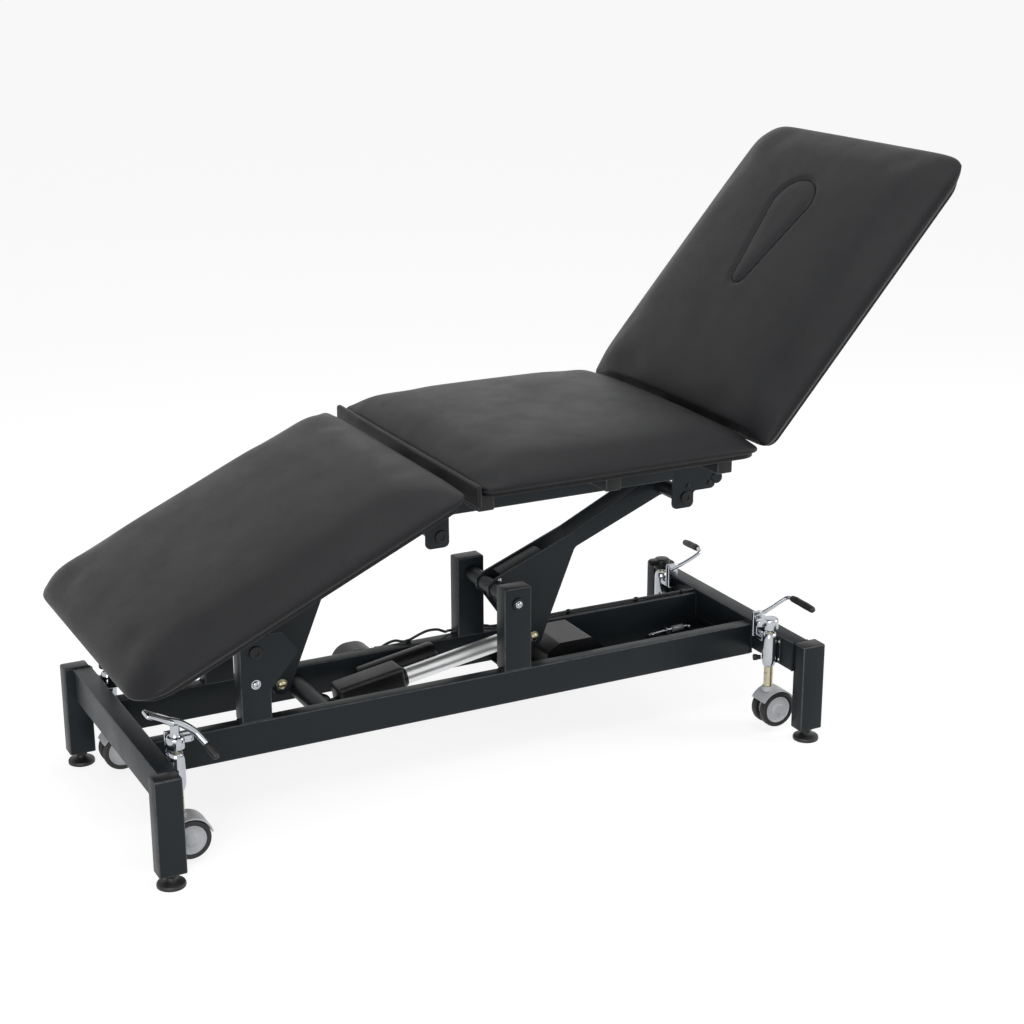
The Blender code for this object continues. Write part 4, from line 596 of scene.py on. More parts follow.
# One item on each point, aimed along the point's own direction and sized by it
FASTENERS = node_group(
    "fasteners_on_points", "Geometry",
    {"Geometry": "Geometry", "Item": "Object", "Finish": "Material"}, {"Geometry": "Geometry"},
    {"aim": ("GeometryNodeInputNamedAttribute", {"data_type": "FLOAT_VECTOR", "Name": "aim"}),
     "size": ("GeometryNodeInputNamedAttribute", {"data_type": "FLOAT", "Name": "size"}),
     "turn": ("FunctionNodeAlignRotationToVector", {"axis": "Z"}), **REAL}, """
    aim.Attribute > turn.Vector
    in.Geometry > place.Points
    turn.Rotation > place.Rotation
    size.Attribute > place.Scale""" + REAL_WIRES)


def run_group(name, source, group, values, material, body, sharp=45):
    """Evaluate a geometry group on a mesh and keep the result as a plain piece."""
    holder = add(name + "_source", source)
    step = holder.modifiers.new("Repeat", "NODES")
    step.node_group = group
    values = {**values, "Finish": material}
    for item in group.interface.items_tree:
        if item.in_out == "INPUT" and item.name in values:
            step[item.identifier] = values[item.name]
    bpy.context.view_layer.update()
    mesh = plain_mesh(holder)
    mesh.name = name
    bpy.data.objects.remove(holder)
    for label in [a.name for a in mesh.attributes if a.name in ("aim", "size")]:
        mesh.attributes.remove(mesh.attributes[label])
    smoothed(mesh, sharp)
    return settle(add(name, mesh), body, material)


def make_items():
    """Weld bead, stitch and the heads of the fasteners, each one unit in size."""
    shapes = {kind: bmesh.new() for kind in ("bead", "stitch", "dome", "hexagon")}
    bead, stitch = shapes["bead"], shapes["stitch"]
    bmesh.ops.create_uvsphere(bead, u_segments=8, v_segments=5, radius=1.0)
    bmesh.ops.scale(bead, vec=(1.0, 1.0, 0.62), verts=bead.verts)
    bmesh.ops.create_icosphere(stitch, subdivisions=1, radius=1.0)
    bmesh.ops.scale(stitch, vec=(0.34, 0.34, 1.0), verts=stitch.verts)
    lathe(shapes["dome"], (0, 0, 0), UP, [
        (0, -0.2), (1.28, -0.2), (1.32, 0.06), (1.28, 0.1), (1.0, 0.1), (0.96, 0.3), (0.82, 0.5),
        (0.60, 0.6), (0.44, 0.62), (0.40, 0.56), (0.38, 0.2), (0, 0.16)], 24)
    lathe(shapes["hexagon"], (0, 0, 0), UP, [
        (0, -0.2), (1.5, -0.2), (1.52, 0.02), (1.46, 0.12), (1.06, 0.12), (0, 0.12)], 24)
    lathe(shapes["hexagon"], (0, 0, 0), UP, [
        (0, 0), (1.0, 0), (1.04, 0.1), (1.04, 0.62), (0.9, 0.74), (0, 0.76)], 6)
    return {kind: solid(kind + "_item", bm) for kind, bm in shapes.items()}


def path_mesh(name, runs):
    """A mesh of edges only, one chain for each run of points."""
    points = [point for run in runs for point in run]
    ends, count = set(), 0
    for run in runs:
        count += len(run)
        ends.add(count - 1)
    mesh = bpy.data.meshes.new(name)
    mesh.from_pydata(points, [(k, k + 1) for k in range(count) if k not in ends], [])
    return mesh


def fasteners(name, kind, spots, material, body):
    """Bolt or screw heads at spots of (place, direction, radius)."""
    mesh = bpy.data.meshes.new(name)
    mesh.from_pydata([at(place) for place, _, _ in spots], [], [])
    mesh.attributes.new("aim", "FLOAT_VECTOR", "POINT")
    mesh.attributes.new("size", "FLOAT", "POINT")
    for index, (_, direction, radius) in enumerate(spots):
        mesh.attributes["aim"].data[index].vector = direction
        mesh.attributes["size"].data[index].value = radius
    run_group(name, mesh, FASTENERS, {"Item": ITEM[kind]}, material, body)


def welds(name, runs, body, size=0.0026):
    """Weld beads along the joints of the frame, painted over."""
    source = path_mesh(name, [[at(point) for point in run] for run in runs])
    run_group(name, source, ALONG_PATH,
              {"Item": ITEM["bead"], "Spacing": 0.0024, "Size": size, "Jitter": 0.14, "Seed": 7},
              POWDER, body, 80)


ITEM = make_items()


# ---------------------------------------------------------------- camera, floor and light

CAMERA_PLACE = (-1.7809, -3.520, 1.779)
CAMERA_AXES = ((0.8888, -0.4583, -0.0022), (0.1412, 0.2693, 0.9526), (-0.4360, -0.8470, 0.3041))
FLOOR_TONE, FLOOR_SEEN, FLOOR_GLOW = (0.80,) * 3, (0.34,) * 3, 0.80
SKY_LIGHT, SKY_SEEN = 0.40, 1.0
LAMPS = (("overhead", (-0.3, -0.6, 3.2), 2.6, 54.0),
         ("front_left", (-2.4, -3.0, 1.3), 2.0, 64.0),
         ("right_fill", (3.2, -1.6, 1.7), 1.6, 46.0))
LIT = Vector((0.0, 0.0, 0.5))

# One for rays of the camera, of mirrors and of glass, zero for the light on the object
LOOKED_AT = {"path": ("ShaderNodeLightPath", {}), "mirror": maths("MAXIMUM"),
             "seen": maths("MAXIMUM")}
LOOKED_AT_WIRES = """
    path.Is Camera Ray > mirror.0
    path.Is Glossy Ray > mirror.1
    mirror.0 > seen.0
    path.Is Transmission Ray > seen.1"""


def camera():
    """The camera, at the photograph's angle."""
    lens = bpy.data.cameras.new("camera")
    lens.lens = 69.22
    lens.sensor_width = 36.0
    made = add("camera", lens)
    turn = Matrix(CAMERA_AXES).transposed().to_4x4()
    turn.translation = CAMERA_PLACE
    made.matrix_world = turn
    bpy.context.scene.camera = made


def floor_and_light():
    """A pale floor that keeps the shadow, a white surround and soft lamps."""
    bm = bmesh.new()
    bmesh.ops.create_grid(bm, x_segments=1, y_segments=1, size=30)
    floor = add("floor", bm)
    paint = bpy.data.materials.new("pale_floor")
    paint.use_nodes = True
    tree = paint.node_tree
    shader = tree.nodes["Principled BSDF"]
    shader.inputs["Roughness"].default_value = 1.0
    shader.inputs["Specular IOR Level"].default_value = 0.0
    shader.inputs["Emission Color"].default_value = (1, 1, 1, 1)
    made = net(tree, {
        "tone": ("ShaderNodeMix", {"data_type": "RGBA", 6: (*FLOOR_TONE, 1),
                                   7: (*FLOOR_SEEN, 1)}),
        "glow": maths("MULTIPLY", {1: FLOOR_GLOW}), **LOOKED_AT}, LOOKED_AT_WIRES + """
    seen.0 > tone.0
    seen.0 > glow.0""")
    tree.links.new(made["tone"].outputs[2], shader.inputs["Base Color"])
    tree.links.new(made["glow"].outputs[0], shader.inputs["Emission Strength"])
    floor.data.materials.append(paint)
    scene = bpy.context.scene
    scene.view_settings.view_transform = "Standard"
    world = scene.world = bpy.data.worlds.new("studio")
    world.use_nodes = True
    sky = world.node_tree.nodes["Background"]
    sky.inputs["Color"].default_value = (1, 1, 1, 1)
    made = net(world.node_tree, {"level": ("ShaderNodeMix", {2: SKY_LIGHT, 3: SKY_SEEN}),
                                 **LOOKED_AT}, LOOKED_AT_WIRES + """
    seen.0 > level.0""")
    world.node_tree.links.new(made["level"].outputs[0], sky.inputs["Strength"])
    for name, place, size, power in LAMPS:
        lamp = bpy.data.lights.new(name, "AREA")
        lamp.size = size
        lamp.energy = power
        lamp = add(name, lamp)
        lamp.rotation_euler = (LIT - Vector(place)).to_track_quat("-Z", "Y").to_euler()
        lamp.location = place


camera()
floor_and_light()


# ---------------------------------------------------------------- cable on the far rail

CABLE_ROUTE = mm(
    "645.6 150 198.5, 660 150 202, 673 147 209, 685 134 216.8, 697 120 217.5, 711 117 220,"
    "733 115 229, 753 114 234.5, 775 114 233.5, 790 117 226.5, 801 126 219.5, 811 133.7 217.5,"
    "823 134 217, 848 134 217, 873 134 217, 886 133.7 217, 901 124 217, 928 114 217,"
    "1104.4 119 217, 1432 112 217")
CABLE_DIAMETER = 0.006
CLIPS = mm("708 117.6, 930 114, 1104.4 119, 1280 116.8, 1400 112.8")


def rail_cable():
    """The cable from the control box along the far rail, held by clips."""
    route = [at(point) for point in smooth_points(CABLE_ROUTE, 5)]
    curve = bpy.data.curves.new("rail_lead", "CURVE")
    curve.dimensions = "3D"
    curve.bevel_depth = CABLE_DIAMETER / 2
    curve.bevel_resolution = 4
    curve.use_fill_caps = True
    line = curve.splines.new("POLY")
    line.points.add(len(route) - 1)
    for point, place in zip(line.points, route):
        point.co = (*place, 1)
    line.use_smooth = True
    curve.materials.append(JACKET)
    lead = settle(add("rail_lead", curve), "base", JACKET, "rail_cable")
    length = sum((b - a).length for a, b in zip(route, route[1:]))
    shapes = []
    for s, y in CLIPS:
        shapes += [(ring_body, at((s - 0.004, y, 0.2170)), (1, 0, 0),
                    mm("3.2 0, 4.6 0, 5 .6, 5 7.4, 4.6 8, 3.2 8"), 24),
                   (block, (s - 0.004, s + 0.004), (y - 0.0085, y + 0.0085), (0.2136, 0.2150),
                    0.0006, 2)]
    part("cable_clips", PLASTIC, "base", *shapes)
    at(CABLE_ROUTE[0])


# ---------------------------------------------------------------- upholstery

PAD_STEP = 0.010
PAD_EDGE_LINES = (0.0, 0.002, 0.005, 0.0095, 0.0155, 0.0235, 0.033)
PAD_END_ROLL = 0.058
PAD_SIDE_ROLL = 0.092
PAD_ROLL_HEIGHT = 0.0230
PAD_TOP_IN = 0.0030
PAD_HALF = 0.350
PAD_FULL_HALF = 0.3560
PAD_SLACK = 0.0022
PAD_CAP = 0.0070
PAD_PRESSURE = 4.0
PAD_FRAMES = 20
PAD_LET_OUT_RISE = 0.016
PAD_SMOOTHINGS = 12
SEAM_RISE = 0.0072
STITCH_RISE = SEAM_RISE + 0.0062
SEAM_POINTS = 360
WELT_RADIUS = 0.0019
BACK_RISE = radians(17.1)
PRESS_REACH = 0.040
PRESS_GAP = 0.0008
# Height and inset of the foot's lines: lip, welt groove and the start of the side
PAD_BASE_IN = 0.0110
PAD_SIDE = ((0.0014, 0.0072), (0.0038, 0.0062), (0.0058, 0.0072), (SEAM_RISE, 0.0092),
            (0.0090, 0.0066), (0.0125, 0.0042))


def pad_lines(length):
    """Places of the pad's lines along one side: close at the edges, even between."""
    first = list(PAD_EDGE_LINES)
    inside = length - 2 * first[-1]
    count = round(inside / PAD_STEP)
    middle = [first[-1] + inside * k / count for k in range(1, count)]
    return first + middle + [length - line for line in reversed(first)]


def round_corner(across, along, half, length, corners):
    """A plan point moved onto the round corner's disc."""
    first = along < length / 2
    radius = corners[0] if first else corners[1]
    end = radius - along if first else along - (length - radius)
    side = abs(across) - (half - radius)
    if end <= 0 or side <= 0:
        return across, along
    p, q = end / radius, side / radius
    end_new = radius * p * sqrt(1 - q * q / 2)
    side_new = radius * q * sqrt(1 - p * p / 2)
    along = radius - end_new if first else length - radius + end_new
    return (half - radius + side_new) * (1 if across > 0 else -1), along


def pad_shape(length, half, thickness, crown, corners):
    """A pad in its own frame: crowned top, rolled edge, welted foot and flat base."""
    lines = pad_lines(length)
    side_lines = [line - half for line in pad_lines(2 * half)]
    bm = bmesh.new()

    def vert(along, across, inset, height):
        across, along = round_corner(across, along, half, length, corners)
        along = inset + along * (length - 2 * inset) / length
        return bm.verts.new((along, across * (half - inset) / half, height))

    def top_height(along, across):
        """Crown over the whole top, less the roll towards the nearest edge or corner."""
        u, v = 2 * along / length - 1, across / half
        end = max(0.0, 1 - min(along, length - along) / PAD_END_ROLL)
        side = max(0.0, 1 - (half - abs(across)) / PAD_SIDE_ROLL)
        share = min(1.0, sqrt(end * end + side * side))
        drop = PAD_ROLL_HEIGHT * (1 - sqrt(1 - share ** 2.4))
        return thickness - drop + crown * (1 - abs(u) ** 4.2) * (1 - abs(v) ** 3.4)

    top = [[vert(a, b, PAD_TOP_IN, top_height(a, b)) for b in side_lines] for a in lines]
    base = [[vert(a, b, PAD_BASE_IN, 0.0) for b in side_lines] for a in lines]
    rows, columns = len(lines) - 1, len(side_lines) - 1
    for grid, step in ((top, 1), (base, -1)):
        for i in range(rows):
            for j in range(columns):
                loop = (grid[i][j], grid[i + 1][j], grid[i + 1][j + 1], grid[i][j + 1])
                bm.faces.new(loop[::step])
    rim = ([(i, 0) for i in range(rows)] + [(rows, j) for j in range(columns)]
           + [(i, columns) for i in range(rows, 0, -1)] + [(0, j) for j in range(columns, 0, -1)])
    loops = [[base[i][j] for i, j in rim]]
    for height, inset in PAD_SIDE:
        loops.append([vert(lines[i], side_lines[j], inset, height) for i, j in rim])
    height, inset = PAD_SIDE[-1]
    for share in (0.3, 0.65):
        bulge = PAD_TOP_IN * share ** 2 + inset * (1 - share) ** 2
        loops.append([vert(lines[i], side_lines[j], bulge * 0.7,
                           height + (top[i][j].co.z - height) * share) for i, j in rim])
    loops.append([top[i][j] for i, j in rim])
    for lower, upper in zip(loops, loops[1:]):
        band(bm, lower, upper)
    bmesh.ops.recalc_face_normals(bm, faces=bm.faces)
    return bm


def inflate(pad):
    """Cloth under pressure, held at its foot: it may only swell, and no more than the cap."""
    start = [(vert.co.copy(), vert.normal.copy()) for vert in pad.data.vertices]
    held = pad.vertex_groups.new(name="held")
    held.add([v.index for v in pad.data.vertices if v.co.z < SEAM_RISE + 0.003], 1.0, "REPLACE")
    cloth = pad.modifiers.new("Filling", "CLOTH")
    settings = cloth.settings
    settings.use_pressure = True
    settings.uniform_pressure_force = PAD_PRESSURE
    settings.effector_weights.gravity = 0
    settings.vertex_group_mass = "held"
    settings.tension_stiffness = settings.compression_stiffness = 25
    settings.bending_stiffness = 2.0
    settings.quality = 5
    scene = bpy.context.scene
    for number in range(1, PAD_FRAMES + 1):
        scene.frame_set(number)
    graph = bpy.context.evaluated_depsgraph_get()
    blown = pad.evaluated_get(graph).to_mesh()
    for vert, (first, out), puffed in zip(pad.data.vertices, start, blown.vertices):
        if first.z > SEAM_RISE:
            vert.co = first + out * min(PAD_CAP, max(0.0, (puffed.co - first).dot(out)))
    pad.evaluated_get(graph).to_mesh_clear()
    pad.modifiers.remove(cloth)
    pad.vertex_groups.clear()
    scene.frame_set(1)


def let_out(pad, length, half, reach):
    """Smooth a blown pad's top, then widen it until it fills its full size again."""
    bm = bmesh.new()
    bm.from_mesh(pad.data)
    upper = [vert for vert in bm.verts if vert.co.z > SEAM_RISE + 0.010]
    for _ in range(PAD_SMOOTHINGS):
        bmesh.ops.smooth_vert(bm, verts=upper, factor=0.5, use_axis_x=True, use_axis_y=True,
                              use_axis_z=True)
    bm.to_mesh(pad.data)
    bm.free()
    places = [vert.co for vert in pad.data.vertices]
    for axis, low, high in ((0, -reach[0], length + reach[1]), (1, -half, half)):
        first, last = min(place[axis] for place in places), max(place[axis] for place in places)
        middle, share = (low + high) / 2, (high - low) / (last - first)
        shift = middle - (first + last) / 2
        for place in places:
            weight = min(1.0, max(0.0, (place.z - SEAM_RISE) / PAD_LET_OUT_RISE))
            wanted = middle + (place[axis] + shift - middle) * share
            place[axis] += (wanted - place[axis]) * weight


def refine(pad):
    """One level of subdivision, applied."""
    step = pad.modifiers.new("Finer", "SUBSURF")
    step.levels = step.render_levels = 1
    mesh = plain_mesh(pad)
    pad.modifiers.remove(step)
    pad.data = mesh


def skin_tree(mesh):
    """A mesh's faces, for rays and nearest points."""
    return BVHTree.FromPolygons([v.co for v in mesh.vertices],
                                [tuple(face.vertices) for face in mesh.polygons])


def seam_loop(tree, length, half, height):
    """Points on the pad's side at one height, all the way round."""
    centre = Vector((length / 2, 0, height))
    found = []
    for k in range(SEAM_POINTS):
        angle = 2 * pi * k / SEAM_POINTS
        out = Vector((cos(angle) * length, sin(angle) * 2 * half, 0))
        hit = tree.ray_cast(centre + out, -out.normalized())[0]
        if hit is not None:
            found.append(hit)
    return found


PLUG_WIDE, PLUG_NARROW = (0.525, 0.064), (0.335, 0.024)
PLUG_SIDE = 0.012
PLUG_ROLL = 0.016
PLUG_SINK = 0.0055
PLUG_PUFF = 0.0022
PLUG_PUFF_RUN = 0.030
PLUG_GAP = 0.0016


def plug_line(margin, start):
    """Teardrop outline of the face opening in the back pad's own plan."""
    (wide, wide_radius), (narrow, narrow_radius) = PLUG_WIDE, PLUG_NARROW
    lean = degrees(atan2(wide_radius - narrow_radius, wide - narrow))
    outline = (arc((wide, PLUG_SIDE), wide_radius - margin, -90 - lean, 90 + lean, 60)
               + arc((narrow, PLUG_SIDE), narrow_radius - margin, 90 + lean, 270 - lean, 30))
    return [(x - start, y) for x, y in outline]


def gap_to(point, outline):
    """Distance in plan from a point to a closed outline."""
    best = 1.0
    here = Vector((point.x, point.y))
    for a, b in zip(outline, outline[1:] + outline[:1]):
        a, b = Vector(a), Vector(b)
        run = b - a
        share = max(0.0, min(1.0, (here - a).dot(run) / max(run.length_squared, 1e-12)))
        best = min(best, (here - a - run * share).length)
    return best


def open_face_hole(pad, start, top):
    """Sink the pad's top round the face opening, then part the plug from the pad."""
    outline, inner = plug_line(0, start), plug_line(PLUG_GAP, start)
    first, last = min(x for x, _ in outline) - PLUG_ROLL, max(x for x, _ in outline) + PLUG_ROLL
    for vert in pad.data.vertices:
        if vert.co.z < top / 2 or not first < vert.co.x < last or abs(vert.co.y) > 0.1:
            continue
        gap = gap_to(vert.co, outline)
        if gap < PLUG_ROLL:
            vert.co.z -= PLUG_SINK * (1 - gap / PLUG_ROLL) ** 2
    outer_cut, inner_cut = (prism(name, line, -0.02, top + 0.03) for name, line in
                            (("opening_cutter", outline), ("plug_cutter", inner)))
    plug_mesh = carve(pad, inner_cut, "INTERSECT")
    pad.data = carve(pad, outer_cut, "DIFFERENCE")
    for cutter in (outer_cut, inner_cut):
        bpy.data.objects.remove(cutter)
    for vert in plug_mesh.vertices:
        if vert.co.z > top / 2:
            vert.co.z += PLUG_PUFF * min(1.0, gap_to(vert.co, inner) / PLUG_PUFF_RUN)
    return add("face_plug_pad", plug_mesh)


def prism(name, outline, low, high):
    """A cutter from a plan outline, in a section's own frame."""
    bm = bmesh.new()
    first, last = ([bm.verts.new((x, y, level)) for x, y in outline] for level in (low, high))
    bm.faces.new(first[::-1])
    bm.faces.new(last)
    band(bm, first, last)
    return solid(name, bm)


def carve(source, cutter, operation):
    """The mesh that an exact Boolean leaves."""
    step = source.modifiers.new("Carve", "BOOLEAN")
    step.operation = operation
    step.solver = "EXACT"
    step.object = cutter
    mesh = plain_mesh(source)
    source.modifiers.remove(step)
    return mesh


def upholster(name, node, body, hinge, angle, sign, start, bottom, length, thickness, crown,
              corners, reach, hole=False, give=None):
    """One section's pad with its welt and stitches, and the plug where it has one."""
    shrink = PAD_SLACK
    half = PAD_HALF - shrink
    bm = pad_shape(length - 2 * shrink, half, thickness, crown, corners)
    bmesh.ops.translate(bm, vec=(shrink, 0, 0), verts=bm.verts)
    pad = add(name, bm)
    inflate(pad)
    let_out(pad, length, PAD_FULL_HALF, reach)
    refine(pad)
    tree = skin_tree(pad.data)
    seam, stitch = (seam_loop(tree, length, half, height) for height in (SEAM_RISE, STITCH_RISE))
    pads = [(pad, node, body)]
    if hole:
        pads.append((open_face_hole(pad, start, thickness + crown), "face_plug", "plug"))

    def own(point):
        """A point of the pad's own plan as a point of the frame."""
        return turned_place(hinge, angle, ((start + point.x) * sign, point.y, bottom + point.z))

    for made, stands_for, rides in pads:
        for vert in made.data.vertices:
            vert.co = own(vert.co)
        if sign < 0:
            made.data.flip_normals()
        made.data.update()
        made.data.materials.clear()
        made.data.materials.append(VINYL)
        smoothed(made.data, 50)
        settle(made, rides, VINYL, stands_for)
    trims = seams(name, seam, stitch, own, hinge, angle, body)
    if give:
        anchor = turned_place(hinge, angle, ((start + length) * sign, 0, bottom))
        axis = turned_place(hinge, angle, (sign, 0, 0)) - turned_place(hinge, angle, (0, 0, 0))
        for made in (pad, *trims):
            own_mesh(made)
    return pad


def press_back(pad, other, turn, share):
    """Press a pad's skin out of another pad's, with the pad turned to the joint's limit."""
    skin = skin_tree(other.data)
    back = turn.inverted()
    for vertex in pad.data.vertices:
        place = turn @ vertex.co
        found, normal, _, _ = skin.find_nearest(place, PRESS_REACH)
        if found is None:
            continue
        depth = PRESS_GAP - (place - found).dot(normal)
        if depth > 0:
            vertex.co = back @ (place + normal * depth * share)


def room_for_the_back(seat, back):
    """Shape the two facing ends so that the back can rise to its steepest."""
    hinge = at(BACK_HINGE)
    turn = (Matrix.Translation(hinge) @ Matrix.Rotation(-BACK_RISE, 4, "Y")
            @ Matrix.Translation(-hinge))
    press_back(seat, back, turn.inverted(), 0.5)
    for _ in range(2):
        press_back(back, seat, turn, 1.0)


def placed_ring(points, lift, own):
    """A ring of points let out from its middle and put in the frame."""
    middle = sum(points, Vector((0, 0, 0))) / len(points)
    made = []
    for point in points:
        out = Vector((point.x - middle.x, point.y - middle.y, 0))
        made.append(own(point + out.normalized() * lift))
    return made


def seams(name, seam, stitch, own, hinge, angle, body):
    """The welt at the pad's foot and the row of stitches above it."""
    path = placed_ring(seam, 0.0006, own)
    normal = turned_place(hinge, angle, (0, 0, 1)) - turned_place(hinge, angle, (0, 0, 0))
    bm = bmesh.new()
    loops = []
    for index, point in enumerate(path):
        ahead = (path[(index + 1) % len(path)] - path[index - 1]).normalized()
        across = ahead.cross(normal).normalized()
        loops.append([bm.verts.new(point + across * cos(pi * k / 4) * WELT_RADIUS
                                   + normal * sin(pi * k / 4) * WELT_RADIUS) for k in range(8)])
    for here, there in zip(loops, loops[1:] + loops[:1]):
        for k in range(8):
            n = (k + 1) % 8
            bm.faces.new((here[k], there[k], there[n], here[n]))
    welt = piece(name + "_welt", bm, VINYL, body, sharp=80)
    source = path_mesh(name + "_stitches", [placed_ring(stitch, 0.0002, own)])
    stitches = run_group(name + "_stitches", source, ALONG_PATH,
                         {"Item": ITEM["stitch"], "Spacing": 0.0046, "Size": 0.0015,
                          "Jitter": 0.05, "Seed": 3}, THREAD, body, 80)
    return welt, stitches


# ---------------------------------------------------------------- base frame

STEEL_EDGE = 0.0030


def block(bm, along, across, up, edge=STEEL_EDGE, segments=3):
    """A bar between pairs of table coordinates, with rounded edges."""
    low, high = zip(*map(sorted, (along, across, up)))
    box(bm, at(low), at(high), edge, segments)


def end_frames():
    """Two legs and a crossbar at each end, with caps in the tube ends."""
    for end, sign in ENDS:
        leg = 0.0 if sign < 0 else BASE_LENGTH - LEG_LENGTH
        bar = BAR_OUT if sign < 0 else BASE_LENGTH - BAR_IN
        bm = bmesh.new()
        for across in (-1, 1):
            block(bm, (leg, leg + LEG_LENGTH), (across * LEG_IN, across * BASE_HALF),
                  (0.027, LEG_TOP))
        block(bm, (bar, bar + 0.040), (0.0001 - LEG_IN, LEG_IN - 0.0001), (0.155, LEG_TOP - 0.0005))
        piece(f"end_frame_{end}", bm, POWDER, "base", f"base_end_frame_{end}")
        caps = bmesh.new()
        for across in (-1, 1):
            block(caps, (leg + 0.0028, leg + LEG_LENGTH - 0.0028),
                  (across * 0.2898, across * 0.3222), (LEG_TOP - 0.002, LEG_TOP + 0.0012), 0.001)
        piece(f"end_frame_caps_{end}", caps, PLASTIC, "base")


def rails_and_uprights():
    """The long rails and the four uprights that carry the lift arms."""
    caps = bmesh.new()
    for side, across in SIDES:
        bm = bmesh.new()
        block(bm, (BAR_IN, BASE_LENGTH - BAR_IN), (across * RAIL_IN, across * RAIL_OUT),
              (0.142, RAIL_TOP))
        piece(f"rail_{side}", bm, POWDER, "base", f"base_rail_{side}")
        for end, pin in POSTS:
            bm = bmesh.new()
            block(bm, (pin.x - POST_HALF, pin.x + POST_HALF), (across * 0.092, across * RAIL_OUT),
                  (RAIL_TOP, 0.3948))
            piece(f"post_{end}_{side}", bm, POWDER, "base", f"upright_{end}_{side}")
            block(caps, (pin.x - 0.0288, pin.x + 0.0288), (across * 0.0947, across * 0.1273),
                  (0.393, 0.3954), 0.0006)
    piece("post_caps", caps, PLASTIC, "base")


def base_welds():
    """Beads at the joints of the base."""
    runs = []
    for sign in (-1, 1):
        outer, inner = BAR_OUT, BAR_IN
        if sign > 0:
            outer, inner = BASE_LENGTH - BAR_OUT, BASE_LENGTH - BAR_IN
        for across in (-1, 1):
            leg = across * LEG_IN
            runs += [[(x, leg, 0.158), (x, leg, 0.219)] for x in (outer, inner)]
            runs.append([(min(outer, inner) + 0.003, leg, LEG_TOP - 0.0006),
                         (max(outer, inner) - 0.003, leg, LEG_TOP - 0.0006)])
            runs.append([(inner, across * (RAIL_IN + 0.003), RAIL_TOP),
                         (inner, across * (RAIL_OUT - 0.003), RAIL_TOP)])
            runs += [[(inner, across * edge, 0.146), (inner, across * edge, RAIL_TOP - 0.003)]
                     for edge in (RAIL_IN, RAIL_OUT)]
    for pin in (FOOT_LOW, HEAD_LOW):
        for across in (-1, 1):
            runs += [[(x, across * (RAIL_IN + 0.002), RAIL_TOP), (x, across * 0.1275, RAIL_TOP)]
                     for x in (pin.x - POST_HALF, pin.x + POST_HALF)]
            runs.append([(pin.x - 0.029, across * RAIL_IN, RAIL_TOP),
                         (pin.x + 0.029, across * RAIL_IN, RAIL_TOP)])
    welds("base_weld_beads", runs, "base")


def levelling_feet():
    """Bell-shaped rubber feet with their lock nuts."""
    for end, s in (("foot", 0.0275), ("head", 1.4625)):
        for side, across in SIDES:
            name = f"levelling_foot_{end}_{side}"
            origin = at((s, across * 0.306, 0))
            bm = bmesh.new()
            lathe(bm, origin, UP, mm("0 0, 26.5 0, 27.6 0.6, 28 2, 27.9 5.8, 26.6 8.4, "
                "22.5 10, 16.5 11.4, 12.8 13.5, 11 16, 10 17.5, 10 26.6, 0 26.6"), 48)
            piece(f"foot_pad_{end}_{side}", bm, RUBBER, name + "_body", name, "feet_rubber")
            nut = bmesh.new()
            lathe(nut, origin, UP, mm("9.6 19, 12 19, 12.8 19.8, 12.8 25, 12 25.8, 9.6 25.8"), 6)
            piece(f"foot_nut_{end}_{side}", nut, OXIDE, name + "_body")


# ---------------------------------------------------------------- castors

WHEEL_HEIGHT = 0.052
WHEEL_SHIFT = 0.014
HEAD_ARM = mm("-5 -50 250, 30 -50 260, 66 -50 275, 75 -45 281, 78 -33 283, 81 -13 281")
HEAD_GRIP = mm("78.5 -29 282.8, 80 -19 282.2, 81.5 -9 281, 83.5 12 279.2, 85.5 32 277")
FOOT_ARM = mm("-40 0 308.5, -18 0 297.5, 10 0 286, 36 5 266, 50 17 248, 56 27 238")
FOOT_TIP = ((0.0545, 0.024, 0.2405), (0.0580, 0.031, 0.2340), (0.0625, 0.042, 0.225))


def beside(points, s, across):
    """Lever points, given outwards from the castor's axis, in the frame."""
    return [at((s + along, across * (CASTOR_SIDE + out), up)) for along, out, up in points]


def castor_housing(end, side, s, across):
    """The chrome guide tube with its flange and the lug that carries the lever."""
    axis = at((s, across * CASTOR_SIDE, 0))
    bm = bmesh.new()
    ring_body(bm, axis, UP, mm("10.4 152, 11.6 152, 12.6 152.8, 13.8 156, 15.3 161, 16 167, "
        "16 215, 15.7 219.5, 14.6 224, 13.2 227.2, 12.2 228, 10.4 228"))
    piece(f"castor_guide_{end}_{side}", bm, CHROME, "base", f"castor_housing_{end}_{side}")
    face = BAR_IN if end == "foot" else BASE_LENGTH - BAR_IN
    inward = 1 if end == "foot" else -1
    y = across * CASTOR_SIDE
    bm = bmesh.new()
    block(bm, (face + inward * 0.0004, s - inward * 0.0120), (y - 0.008, y + 0.008),
          (0.1570, 0.2200), 0.0016)
    block(bm, (face + inward * 0.0004, face + inward * 0.0034), (y - 0.019, y + 0.019),
          (0.1600, 0.2170), 0.0012)
    piece(f"castor_bracket_{end}_{side}", bm, POWDER, "base")
    bm = bmesh.new()
    lug = across * 0.190
    block(bm, (s - 0.011, s + 0.011), (lug, lug - across * 0.005), (0.205, 0.258), 0.0016)
    block(bm, (s - 0.011, s + 0.011), (lug - across * 0.004, y - across * 0.0130),
          (0.205, 0.2148), 0.0016)
    piece(f"castor_lug_{end}_{side}", bm, CHROME, "base")
    fasteners(f"castor_guide_screws_{end}_{side}", "dome",
              [((face + inward * 0.0034, y + off, up), (inward, 0, 0), 0.0032)
               for off in (-0.0145, 0.0145) for up in (0.168, 0.209)], STEEL, "base")


